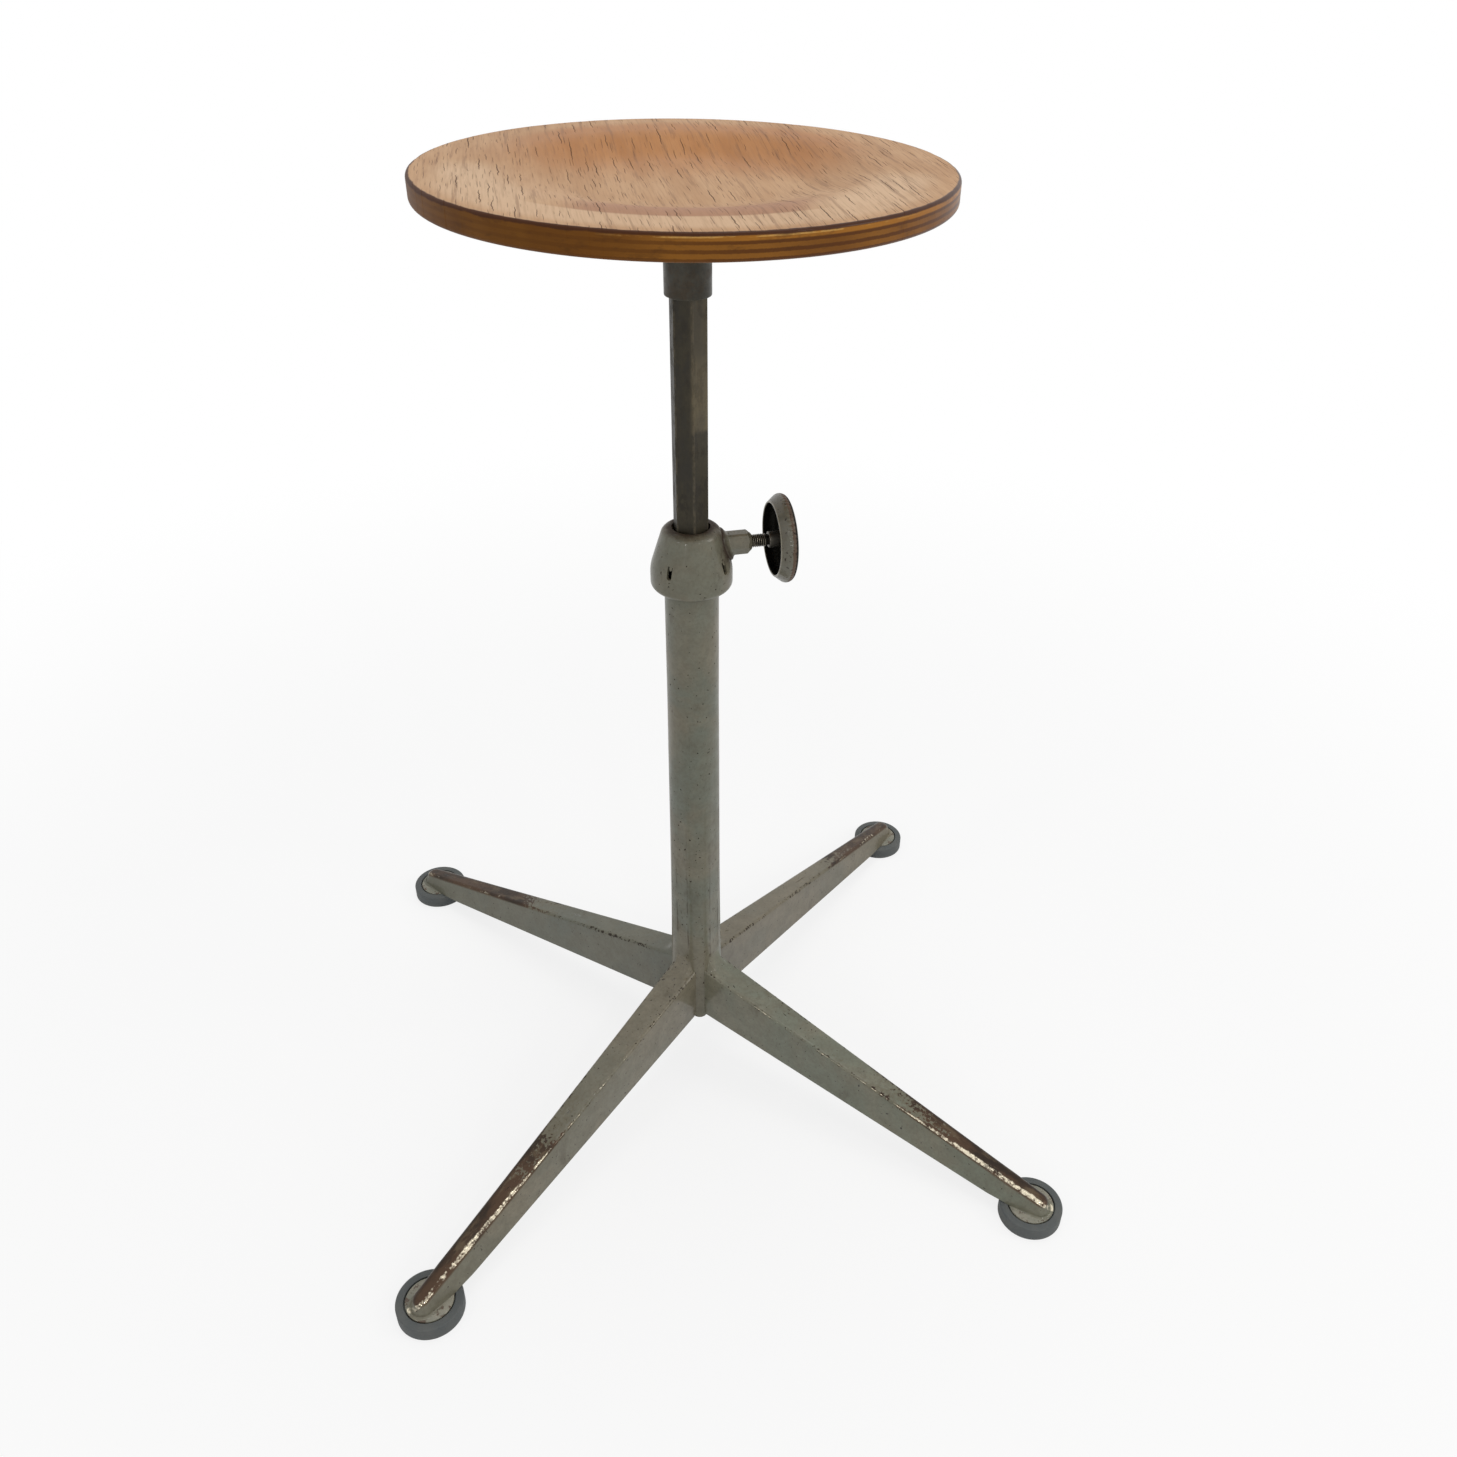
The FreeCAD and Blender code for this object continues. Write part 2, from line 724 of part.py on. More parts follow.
# Feet, made at the end of a leg along +X
def at_foot(shape):
    shape.translate(Vector(foot_circle_radius, 0, 0))
    return shape


def make_foot_plate():
    hole = foot_screw_diameter / 2 + assembly_clearance
    return at_foot(tube(foot_plate_diameter / 2, hole, rubber_seat, foot_height))


def make_rubber_foot():
    rim = rubber_diameter / 2
    pocket = foot_plate_diameter / 2 + rubber_gap
    hole = foot_screw_diameter / 2 + assembly_clearance
    recess = foot_screw_recess_diameter / 2
    points = [(hole, foot_screw_recess_depth), (recess, foot_screw_recess_depth), (recess, 0),
              (rim - rubber_foot_chamfer, 0), (rim, rubber_foot_chamfer), (rim, foot_height),
              (pocket, foot_height), (pocket, rubber_seat), (hole, rubber_seat)]
    return at_foot(turned(points, [0, 0, 0, 0, 0, rubber_top_round, 0, 0, 0]))


def make_foot_screw():
    head = foot_screw_head_diameter / 2
    shank = foot_screw_diameter / 2
    end = foot_height + foot_nut_thickness + foot_screw_end
    low = foot_screw_recess_depth - foot_screw_head_height
    points = [(0, low), (head, low), (head, foot_screw_recess_depth),
              (shank, foot_screw_recess_depth), (shank, end), (0, end)]
    return at_foot(turned(points, [0, foot_screw_head_height / 2, 0, 0, 0, 0]))


def make_foot_nut():
    nut = hexagon(foot_nut_across_flats, foot_height, foot_height + foot_nut_thickness)
    bore = disc(foot_screw_diameter / 2 + assembly_clearance, 0, 2 * foot_height)
    return at_foot(nut.cut(bore))


def save(name, shape):
    """Writes one piece to its own file and prints its size."""
    shape.exportStep(os.path.join("parts", name + ".step"))
    box = shape.BoundBox
    print(name, len(shape.Solids), "solids valid", shape.isValid(), "volume", round(shape.Volume),
          "z", round(box.ZMin, 2), round(box.ZMax, 2))


def main():
    os.makedirs("parts", exist_ok=True)
    save("seat", make_seat())
    save("seat_plate", make_seat_plate())
    save("seat_screws", make_seat_screws())
    save("seat_hub", make_seat_hub())
    save("swivel_spindle", make_swivel_spindle())
    save("thrust_washer", make_thrust_washer())
    save("swivel_bush", make_swivel_bush())
    save("spindle_washer", make_spindle_washer())
    save("spindle_clip", make_spindle_clip())
    save("stem_collar", make_stem_collar())
    save("stem", make_stem())
    save("stem_stop", make_stem_stop())
    save("stem_stop_pin", make_stem_stop_pin())
    save("column", make_column())
    save("stem_guide", make_stem_guide())
    save("clamp_head", make_clamp_head())
    save("clamp_boss", make_clamp_boss())
    save("clamp_pad", make_clamp_pad())
    save("clamp_screw", make_clamp_screw())
    save("handwheel", make_handwheel())
    save("handwheel_hub", make_handwheel_hub())
    save("handwheel_nut", make_handwheel_nut())
    places = ["rear_right", "rear_left", "front_left", "front_right"]
    first = 45 + leg_turn
    for make, name in [(make_leg, "leg"), (make_foot_plate, "foot_plate"),
                       (make_rubber_foot, "rubber_foot")]:
        for place, piece in zip(places, around(make(), leg_count, first)):
            save(name + "_" + place, piece)
    save("foot_screws", Part.makeCompound(around(make_foot_screw(), leg_count, first)))
    save("foot_nuts", Part.makeCompound(around(make_foot_nut(), leg_count, first)))


main()
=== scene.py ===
# Height-adjustable workshop stool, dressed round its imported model.
# Metres, in the model's frame: +Z up the column, +X along the clamp screw, -Y towards the camera.
import math

import bmesh
import bpy
import numpy as np
from mathutils import Matrix, Vector


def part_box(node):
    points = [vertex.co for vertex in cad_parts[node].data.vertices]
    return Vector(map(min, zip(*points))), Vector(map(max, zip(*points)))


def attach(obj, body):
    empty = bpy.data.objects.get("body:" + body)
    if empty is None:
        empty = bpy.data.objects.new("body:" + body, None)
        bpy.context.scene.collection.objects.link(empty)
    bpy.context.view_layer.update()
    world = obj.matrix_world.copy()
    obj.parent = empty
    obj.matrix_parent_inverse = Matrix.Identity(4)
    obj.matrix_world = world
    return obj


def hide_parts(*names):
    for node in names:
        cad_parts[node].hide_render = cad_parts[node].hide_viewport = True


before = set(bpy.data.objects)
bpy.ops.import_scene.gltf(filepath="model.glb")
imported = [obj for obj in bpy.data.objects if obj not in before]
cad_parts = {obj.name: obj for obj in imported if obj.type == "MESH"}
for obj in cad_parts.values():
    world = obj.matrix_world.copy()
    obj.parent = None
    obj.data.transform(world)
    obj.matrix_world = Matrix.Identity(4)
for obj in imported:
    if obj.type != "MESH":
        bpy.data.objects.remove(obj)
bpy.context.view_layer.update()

# Column: a steel tube of 42.4 mm, drawn to a rounded square at its foot so that
# the four legs meet it on flats. It is welded to them and enamelled grey-beige.
mm = 0.001
leg_count = 4
leg_ways = [math.radians(41.4) + i * math.tau / leg_count for i in range(leg_count)]
column_low, column_high = (corner.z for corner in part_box("column"))
column_radius = 21.2 * mm
column_wall = 2.6 * mm
column_flat = 20.4 * mm
column_foot_corner = 7.1 * mm
column_flat_top = 138 * mm
column_round_from = 400 * mm
column_rows = 150
column_columns = 256
crease_aside = 0.28


class Wire:
    """A socket in a material. Sums, products and powers of wires and numbers add Math nodes."""

    def __init__(self, tree, socket):
        self.tree = tree
        self.socket = socket

    def node(self, kind, settings, inputs, output=0):
        """Adds one node: its settings first, then its sockets by name or place. Gives an output."""
        made = self.tree.nodes.new(kind)
        for name, value in settings.items():
            setattr(made, name, value)
        for name, value in inputs.items():
            if isinstance(value, Wire):
                self.tree.links.new(value.socket, made.inputs[name])
            else:
                made.inputs[name].default_value = value
        return Wire(self.tree, made.outputs[output])

    def math(self, operation, *values):
        return self.node("ShaderNodeMath", {"operation": operation}, dict(enumerate(values)))

    def __add__(self, other):
        return self.math("ADD", self, other)

    def __radd__(self, other):
        return self.math("ADD", other, self)

    def __sub__(self, other):
        return self.math("SUBTRACT", self, other)

    def __rsub__(self, other):
        return self.math("SUBTRACT", other, self)

    def __mul__(self, other):
        return self.math("MULTIPLY", self, other)

    def __rmul__(self, other):
        return self.math("MULTIPLY", other, self)

    def __truediv__(self, other):
        return self.math("DIVIDE", self, other)

    def __pow__(self, other):
        return self.math("POWER", self, other)

    def __abs__(self):
        return self.math("ABSOLUTE", self)

    def most(self, other):
        return self.math("MAXIMUM", self, other)

    def least(self, other):
        return self.math("MINIMUM", self, other)

    def beside(self, other):
        """Distance from an axis, from the two coordinates across it, by Pythagoras."""
        return (self * self + other * other) ** 0.5

    def rise(self, low, high):
        """0 below low, 1 above high, and a smooth step between. It falls where low is the larger."""
        settings = {"interpolation_type": "SMOOTHSTEP"}
        inputs = {"Value": self, "From Min": low, "From Max": high, "To Min": 0.0, "To Max": 1.0}
        if low > high:
            inputs.update({"From Min": high, "From Max": low, "To Min": 1.0, "To Max": 0.0})
        return self.node("ShaderNodeMapRange", settings, inputs)

    def blend(self, first, second):
        """Colour that goes from the first to the second as this wire goes from 0 to 1."""
        return self.node("ShaderNodeMix", {"data_type": "RGBA"}, {0: self, 6: first, 7: second}, 2)

    def coats(self, *layers):
        """This colour under layers, each a mask and the three numbers of a tone, the last on top."""
        colour = self
        for mask, *shade in layers:
            colour = mask.blend(colour, tone(*shade))
        return colour

    def split(self):
        """The three parts of a vector."""
        made = self.tree.nodes.new("ShaderNodeSeparateXYZ")
        self.tree.links.new(self.socket, made.inputs[0])
        return [Wire(self.tree, made.outputs[axis]) for axis in range(3)]

    def mapped(self, stretch=(1, 1, 1), turn=0.0, shift=(0, 0, 0)):
        """Coordinates that are moved, turned about Z and then stretched."""
        inputs = {"Location": shift, "Rotation": (0, 0, turn), "Vector": self}
        moved = self.node("ShaderNodeMapping", {}, inputs)
        return moved.node("ShaderNodeVectorMath", {"operation": "MULTIPLY"}, {0: moved, 1: stretch})

    def noise(self, scale, detail=3.0, roughness=0.55, distortion=0.0):
        """Cloudy noise from 0 to 1, with its middle at a half."""
        inputs = {"Vector": self, "Scale": scale, "Detail": detail, "Roughness": roughness,
                  "Distortion": distortion}
        return self.node("ShaderNodeTexNoise", {}, inputs)

    def chance(self):
        """A number from 0 to 1 that is steady inside each whole step of the vector."""
        return self.node("ShaderNodeTexWhiteNoise", {"noise_dimensions": "3D"}, {"Vector": self})

    def joined(self, second, third):
        return self.node("ShaderNodeCombineXYZ", {}, {0: self, 1: second, 2: third})


class Finish:
    """A new material: its object coordinates, and its shader's constant and varying sockets."""

    def __init__(self, name, **constants):
        self.material = bpy.data.materials.new(name)
        self.material.use_nodes = True
        self.tree = self.material.node_tree
        self.shader = self.tree.nodes["Principled BSDF"]
        for socket, value in constants.items():
            self.shader.inputs[socket.replace("_", " ")].default_value = value
        made = self.tree.nodes.new("ShaderNodeTexCoord")
        self.place = Wire(self.tree, made.outputs["Object"])

    def feed(self, socket, wire):
        self.tree.links.new(wire.socket, self.shader.inputs[socket])

    def relief(self, height, depth, strength):
        """Bump from a height between 0 and 1 that stands for a depth in metres. Gives the finish."""
        inputs = {"Height": height, "Distance": depth, "Strength": strength}
        self.feed("Normal", height.node("ShaderNodeBump", {}, inputs))
        return self


def tone(red, green, blue):
    """A colour as the eye reads it, 0 to 255, as the linear colour that a shader takes."""
    parts = np.array([red, green, blue]) / 255
    linear = np.where(parts <= 0.04045, parts / 12.92, ((parts + 0.055) / 1.055) ** 2.4)
    return (*linear.tolist(), 1.0)


def surface(name, grid, closed=True, crease=32, flaps=False, capped=False):
    """Mesh of a grid of points. Columns run round the piece and join up; rows join up if it is
    closed. Flaps close the two open ends of a folded sheet, column by column from the outside to
    the inside, and caps close a cutter's ends. Points that meet, as at a pole, are merged."""
    rows, columns = grid.shape[:2]
    index = np.arange(rows * columns).reshape(rows, columns)
    loop = np.vstack([index, index[:1]]) if closed else index
    low = loop[:-1]
    high = loop[1:]
    faces = np.stack([low, np.roll(low, -1, 1), np.roll(high, -1, 1), high], -1).reshape(-1, 4)
    if flaps:
        half = columns // 2
        for end in (index[0], index[-1]):
            outside = end[:half]
            inside = end[half:][::-1]
            flap = np.stack([outside[:-1], outside[1:], inside[1:], inside[:-1]], -1)
            faces = np.concatenate([faces, flap])
    mesh = bpy.data.meshes.new(name)
    mesh.from_pydata(grid.reshape(-1, 3).tolist(), [], faces.tolist())
    work = bmesh.new()
    work.from_mesh(mesh)
    bmesh.ops.remove_doubles(work, verts=work.verts, dist=1e-6)
    if capped:
        bmesh.ops.holes_fill(work, edges=[edge for edge in work.edges if edge.is_boundary])
    bmesh.ops.recalc_face_normals(work, faces=work.faces)
    work.to_mesh(mesh)
    work.free()
    mesh.shade_smooth()
    mesh.set_sharp_from_angle(angle=math.radians(crease))
    return mesh


def added(name, data):
    """A new object that is linked to the scene."""
    made = bpy.data.objects.new(name, data)
    bpy.context.scene.collection.objects.link(made)
    return made


def place(name, grid, finish, body, slot, node, **form):
    """Makes a grid one of the stool's pieces, with its material and body, and hides the node it dresses.
    The slot is not used.
    """
    made = added(name, surface(name, grid, **form))
    made.data.materials.append(finish.material)
    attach(made, body)
    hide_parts(node)
    return made


def part_way(value, start, end):
    """0 at the start and 1 at the end, even between them and held beyond them."""
    return np.clip((value - start) / (end - start), 0, 1)


def spun(radius, angle, height, axis="z", middle=(0, 0, 0)):
    """Points at a radius, an angle and a height about an axis through a middle."""
    parts = [radius * np.cos(angle), radius * np.sin(angle), height + 0 * radius]
    if axis == "x":
        parts = parts[2:] + parts[:2]
    return np.stack(parts, -1) + np.array(middle)


def column_form(height):
    """Half flat and corner radius of the column at a height. The corner's radius grows with the
    square root of the height above the foot until the tube is round."""
    share = part_way(height, column_low, column_round_from)
    corner = column_foot_corner + (column_radius - column_foot_corner) * np.sqrt(share)
    step = part_way(height, column_flat_top, column_round_from)
    flat = column_flat + (column_radius - column_flat) * step * step * (3 - 2 * step)
    return flat, np.minimum(corner, flat)


def rounded_polygon(angle, sides, flat, corner):
    """Radius of a polygon at an angle from the middle of a flat: the flat's distance over the
    cosine, and past the flat's end the far hit on the rounded corner's circle."""
    half = math.pi / sides
    fold = np.abs((angle + half) % (2 * half) - half)
    centre = (flat - corner) / math.cos(half)
    along = centre * np.cos(half - fold)
    arc = along + np.sqrt(np.maximum(along**2 - centre**2 + corner**2, 0))
    straight = flat / np.cos(fold)
    return np.where(straight * np.sin(fold) <= (flat - corner) * math.tan(half), straight, arc)


def column_grid():
    """Outside from foot to mouth and inside back down, one radius for each height and angle."""
    height = column_low + (column_high - column_low) * np.linspace(0, 1, column_rows)
    angle = np.linspace(0, math.tau, column_columns, endpoint=False)
    flat, corner = column_form(height)
    outside = rounded_polygon(angle - leg_ways[0], leg_count, flat[:, None], corner[:, None])
    walls = np.concatenate([outside, outside[::-1] - column_wall])
    return spun(walls, angle, np.concatenate([height, height[::-1]])[:, None])


def enamel_paint(spot, warm, cool):
    """Stove enamel: broad warm and cool clouds, a finer mottle, and small brown specks. Gives the
    colour, the fine mottle and the specks."""
    broad = spot.noise(11, 4, 0.6, 0.6).rise(0.40, 0.60)
    fine = spot.noise(75, 4, 0.6).rise(0.32, 0.68)
    crumb = spot.mapped(shift=(0, 0, 0.9)).noise(340, 3, 0.65).rise(0.40, 0.66)
    smudge = spot.mapped((1, 1, 0.5), shift=(0.7, 0, 0)).noise(32, 5, 0.7).rise(0.58, 0.70)
    speck = spot.noise(430, 1, 0.4).rise(0.725, 0.75)
    colour = broad.blend(warm, cool).coats(
        (fine * 0.34, 93, 88, 72),
        (crumb * 0.20, 76, 70, 56),
        (smudge * 0.4, 74, 66, 50),
        (speck * 0.9, 32, 22, 15))
    return colour, fine, speck


def enamel_finish(name, stain_and_shade, warm=tone(117, 112, 95), cool=tone(103, 107, 94)):
    """Grey-beige stove enamel with a slight orange peel. A law for its stains, and on the column
    its painted crease shade, gives their mask.
    """
    finish = Finish(name, Coat_Roughness=0.12, Specular_IOR_Level=0.22)
    spot = finish.place
    paint, fine, speck = enamel_paint(spot, warm, cool)
    stained_and_shaded = stain_and_shade(spot)
    marks = stained_and_shaded.most(speck)
    finish.feed("Base Color", paint.coats((stained_and_shaded, 44, 29, 18)))
    finish.feed("Roughness", 0.42 + fine * 0.12 + marks * 0.25)
    finish.feed("Coat Weight", 0.4 * (1 - marks))
    return finish.relief(spot.noise(210, 2) * 0.7 + fine * 0.3 - speck * 0.6, 0.12 * mm, 0.5)


def column_crease_shade_and_nicks(spot):
    """Painted shade in dark lines where the pressed flats begin, a hand's breadth above the legs,
    with black nicks in the enamel beside them: bands of the angle round the column that wander
    with noise and fade upwards."""
    x, y, z = spot.split()
    angle = y.math("ARCTAN2", y, x)
    wander = spot.mapped((0.2, 0.2, 1)).noise(28, 3, 0.6) - 0.5
    lines = 0.0
    for way in leg_ways:
        for side in (-crease_aside, crease_aside):
            middle = (way + side + math.pi) % math.tau - math.pi
            lines = lines + abs(angle - middle - wander * 0.22).rise(0.055, 0.01)
    nick = spot.mapped((1, 1, 0.45)).noise(210, 3, 0.6).rise(0.66, 0.69) * z.rise(0.24, 0.12)
    broken = spot.mapped((1, 1, 0.6)).noise(60, 4, 0.7).rise(0.42, 0.62)
    # The lines are painted shade along the creases; the nicks are marks in the enamel.
    marks = z.rise(0.31, 0.15) * broken * lines.least(1.0) * 0.55
    return marks.most(nick * 0.9)


place("column_tube", column_grid(), enamel_finish("column_enamel", column_crease_shade_and_nicks), "base", "enamel",
      "column")

# Legs: each a channel folded from 2 mm sheet, tapering to a round toe, its top curled up
# the column's flat and welded. Shoes have worn the enamel off the outer half of the tops.
leg_names = ("rear_right", "rear_left", "front_left", "front_right")
leg_sheet = 2.0 * mm
leg_root_reach = column_flat
leg_root_top = 106 * mm
leg_root_hem = 49.5 * mm
leg_root_half = 13.4 * mm
leg_inner_end = 12 * mm
leg_toe_reach = 367.5 * mm
leg_toe_half = 6.5 * mm
leg_toe_base_half = 10.5 * mm
leg_end_top = 24.5 * mm
leg_end_reach = 374 * mm
leg_slope = (leg_end_top - leg_root_top) / (leg_end_reach - leg_root_reach)
leg_narrow_from = 341.4 * mm
leg_level_from = 325 * mm
leg_plate_edge = 342.4 * mm
leg_plate_top = 13.2 * mm
leg_over_rubber = 1.0 * mm
leg_edge_round = 2.6 * mm
leg_toe_round = 5.2 * mm
leg_inner_round = 0.6 * mm
leg_flare = 2.4 * mm
leg_curl = 14 * mm
leg_curl_half = 7.5 * mm
leg_weld_depth = 1.2 * mm


def leg_top(reach):
    return leg_root_top + leg_slope * (reach - leg_root_reach)


def leg_hem(reach):
    """Sloping hem, then level just over the rubber, then down on the foot plate."""
    level = leg_plate_top + leg_over_rubber
    hem = leg_root_hem + part_way(reach, leg_root_reach, leg_level_from) * (level - leg_root_hem)
    return hem - leg_over_rubber * np.clip((reach - leg_plate_edge) / mm, 0, 1)


def leg_outline(reach, lean, inset, flare):
    """Half of the leg's section, from hem to middle: flare, wall, rounded edge and flat top. The
    edge's radius grows towards the toe. Takes columns with a row for each station, and gives the
    distance from the middle and the height, one row per station."""
    share = (reach - leg_root_reach) / (leg_toe_reach - leg_root_reach)
    top_half = leg_root_half + share * (leg_toe_half - leg_root_half) - inset
    narrow = part_way(reach, leg_narrow_from, leg_toe_reach)
    base_half = leg_root_half + narrow * (leg_toe_base_half - leg_root_half) - inset
    top = leg_top(reach) - inset
    hem = leg_hem(reach)
    round_radius = leg_edge_round + (leg_toe_round - leg_edge_round) * np.clip(share, 0, 1) ** 2
    round_radius = np.maximum(round_radius - inset, leg_inner_round)
    tilt = np.arctan2(base_half - top_half, top - hem)
    centre = top_half - round_radius * (1 - np.sin(tilt)) / np.cos(tilt)
    bend = tilt + np.linspace(0, 1, 9) * (math.pi / 2 - tilt)
    edge = centre + round_radius * np.cos(bend)
    edge_height = top - round_radius + round_radius * np.sin(bend)
    sweep = -math.pi / 2 - np.linspace(0, 1, 7) * math.pi / 2
    foot = base_half + flare + flare * np.cos(sweep)
    foot_height = hem + flare + flare * np.sin(sweep)
    rows = np.linspace(0, 1, 6)[1:-1]
    wall = foot[:, -1:] + rows * (edge[:, :1] - foot[:, -1:])
    wall_height = foot_height[:, -1:] + rows * (edge_height[:, :1] - foot_height[:, -1:])
    flat_share = np.linspace(1, 0, 8)[1:]
    flat = edge[:, -1:] * flat_share
    flat_height = edge_height[:, -1:] + 0 * flat_share
    out = np.concatenate([foot, wall, edge, flat], 1)
    high = np.concatenate([foot_height, wall_height, edge_height, flat_height], 1)
    return out, high + leg_slope * out * lean * (high - hem) / (top - hem)


def faced(x, y, z, angle):
    """Points laid out along +X, turned about Z to face an angle."""
    cosine = math.cos(angle)
    sine = math.sin(angle)
    return np.stack([x * cosine - y * sine, x * sine + y * cosine, z], -1)


def leg_grid(angle):
    """The sheet's outside and inside along a path that goes out by one side, round the toe and back
    by the other. At the root the top curls up in a quarter circle and the ends follow the column."""
    curl = leg_root_reach + leg_curl * (1 - np.sin(np.linspace(math.pi / 2, 0, 16)))
    straight = np.concatenate([np.linspace(leg_inner_end, leg_root_reach, 6)[:-1], curl,
                               np.linspace(curl[-1], leg_toe_reach, 90)[1:]])
    sweep = np.linspace(0, math.pi, 33)[1:-1]
    reach = np.concatenate([straight, leg_toe_reach + 0 * sweep, straight[::-1]])[:, None]
    ahead = np.concatenate([0 * straight, np.sin(sweep), 0 * straight])[:, None]
    aside = np.concatenate([1 + 0 * straight, np.cos(sweep), -1 + 0 * straight])[:, None]
    flare = leg_flare * part_way(reach, leg_plate_edge, leg_toe_reach) ** 2
    out, high = leg_outline(reach, ahead, 0, flare)
    inner, inner_high = leg_outline(reach, ahead, leg_sheet, 0 * flare)
    back = np.clip((curl[-1] - reach) / leg_curl, 0, 1)
    climb = leg_curl * (1 - np.sqrt(1 - back**2))
    side = part_way(out, leg_curl_half, leg_root_half - leg_edge_round)
    on_top = high > leg_top(reach) - 0.3 * leg_edge_round
    high = high + climb * (1 - side * side * (3 - 2 * side)) * on_top
    out = np.concatenate([out, inner[:, ::-1]], 1)
    high = np.concatenate([high, inner_high[:, ::-1]], 1)
    x = reach + out * ahead
    y = out * aside
    flat, corner = column_form(high)
    past = np.clip(np.abs(y) - (flat - corner), 0, corner)
    face = flat - corner + np.sqrt(corner**2 - past**2)
    return faced(np.maximum(x, face - leg_weld_depth), y, high, angle)


def leg_finish(name, angle, seed, near, onset, shine, warm, cool):
    """Enamel, worn through on the outer part of the top to brown steel, with pitting where the wear
    starts. The edge on the near side is rubbed bright and painted nearly white as a painted
    highlight: a line that widens towards the toe."""
    finish = Finish(name, Coat_Roughness=0.12, Specular_IOR_Level=0.25)
    spot = finish.place.mapped(turn=-angle)
    along, across, up = spot.split()
    side = across * near
    slim = (leg_root_half - leg_toe_half) / (leg_toe_reach - leg_root_reach)
    half = leg_root_half - (along - leg_root_reach) * slim
    depth = leg_root_top + leg_slope * (along - leg_root_reach) - up
    top = depth.rise(3.4 * mm, 1.2 * mm)
    near_in = half - side - depth
    far_in = half + side - depth
    blotch = spot.mapped((0.45, 1, 1), shift=(seed, 0, 0)).noise(46, 5, 0.65)
    grain = spot.mapped((0.3, 1, 1), shift=(0, seed, 0)).noise(120, 4, 0.65)
    pits = spot.mapped(shift=(0, 0, seed)).noise(300, 3, 0.65)
    near_edge, far_edge = [inward.rise(4.0 * mm, 1.0 * mm) * inward.rise(-4.0 * mm, -1.5 * mm)
                           for inward in (near_in, far_in)]
    edges = near_edge.most(far_edge) * depth.rise(7 * mm, 5 * mm)
    outer = along.rise(onset - 0.09, onset + 0.08)
    loss = outer * 0.95 + (blotch - 0.5) * 1.5 + (pits - 0.5) * 1.1
    loss = loss + edges * along.rise(0.03, 0.2) * 0.16
    bare = (loss - 0.52).rise(0.0, 0.06) * top
    edge_chips = (pits * 0.9 + blotch * 0.45 + edges * 0.19 - 0.93).rise(0.0, 0.03) * (1 - bare)
    paint, fine = enamel_paint(finish.place, warm, cool)[:2]
    paint = paint.coats(((loss - 0.12).rise(0.0, 0.4) * top * 0.5, 92, 84, 62))
    rust = blotch.rise(0.40, 0.60).blend(tone(76, 57, 42), tone(46, 36, 27)).coats(
        (grain.rise(0.50, 0.64) * 0.5, 104, 90, 70),
        (far_in.rise(6 * mm, 1 * mm) * 0.5, 40, 31, 24))
    # Painted highlight: a near-white line along the near edge, over metal rubbed bare.
    wide = 0.7 * mm + 4.6 * mm * along.rise(onset - 0.04, onset + 0.10)
    band = near_in.rise(-1.5 * mm, -0.4 * mm) * (wide - near_in).rise(-0.3 * mm, 2.2 * mm)
    rubbed = (band * 0.7 + (grain - 0.5) * 2.0 + (pits - 0.5) * 2.2 + shine - 0.86).rise(0.0, 0.62)
    rubbed = rubbed * along.rise(0.025, 0.06) * band.rise(0.0, 0.25)
    finish.feed("Base Color", bare.blend(paint, rust).coats(
        (edge_chips * 0.9, 38, 29, 22),
        (rubbed, 224, 214, 190)))
    finish.feed("Metallic", (bare * 0.35).most(rubbed))
    finish.feed("Roughness", 0.42 - bare * 0.10 - rubbed * 0.16 + edge_chips * 0.2 + fine * 0.08)
    finish.feed("Coat Weight", 0.4 * (1 - bare) * (1 - edge_chips))
    relief = (1 - bare) * 0.5 + pits * (0.12 + bare * 0.5) - edge_chips * 0.3 + fine * 0.15
    return finish.relief(relief, 0.25 * mm, 0.7)


leg_wear = ((-1, 0.25, 0.06, tone(115, 107, 88), tone(104, 100, 84)),
            (1, 0.21, 0.02, tone(106, 105, 90), tone(98, 101, 89)),
            (1, 0.215, 0.42, tone(125, 118, 100), tone(117, 114, 98)),
            (-1, 0.235, 0.52, tone(124, 121, 103), tone(114, 118, 102)))
for i in range(leg_count):
    finish = leg_finish("leg_finish_" + leg_names[i], leg_ways[i], 0.37 * (i + 1), *leg_wear[i])
    place("leg_shell_" + leg_names[i], leg_grid(leg_ways[i]), finish, "base", "leg_enamel",
          "leg_" + leg_names[i], closed=False, flaps=True)

# Feet: a pressed steel disc under each toe, held down by a screw and nut on a
# moulded ring of blue-grey rubber. Screws and nuts are hidden in the leg.
foot_reach = 361 * mm
foot_columns = 128
plate_radius, plate_low, plate_high = 19.6 * mm, 10.2 * mm, 13.2 * mm
rubber_radius = 27.25 * mm
rubber_pocket = 20.6 * mm
rubber_bore = 3.05 * mm
rubber_recess, rubber_recess_depth = 8 * mm, 4.2 * mm


def bent(corners, radii, steps=8):
    """Outline through the corners, each rounded by its radius: the arc's centre is on the corner's
    bisector, and the arc runs from one side to the other in even steps."""
    corners = np.array(corners, float)
    stretches = []
    for i in range(len(corners)):
        if radii[i] == 0:
            stretches.append(corners[i:i + 1])
            continue
        back = corners[i - 1] - corners[i]
        back = back / np.linalg.norm(back)
        ahead = corners[(i + 1) % len(corners)] - corners[i]
        ahead = ahead / np.linalg.norm(ahead)
        half = math.acos(np.clip(back @ ahead, -1, 1)) / 2
        run = radii[i] / math.tan(half)
        middle = (back + ahead) / np.linalg.norm(back + ahead)
        centre = corners[i] + middle * radii[i] / math.sin(half)
        start = math.atan2(*(corners[i] + back * run - centre)[::-1])
        finish = math.atan2(*(corners[i] + ahead * run - centre)[::-1])
        sweep = (finish - start + math.pi) % math.tau - math.pi
        angle = start + sweep * np.linspace(0, 1, steps + 1)
        stretches.append(centre + radii[i] * np.stack([np.cos(angle), np.sin(angle)], -1))
    return np.concatenate(stretches)


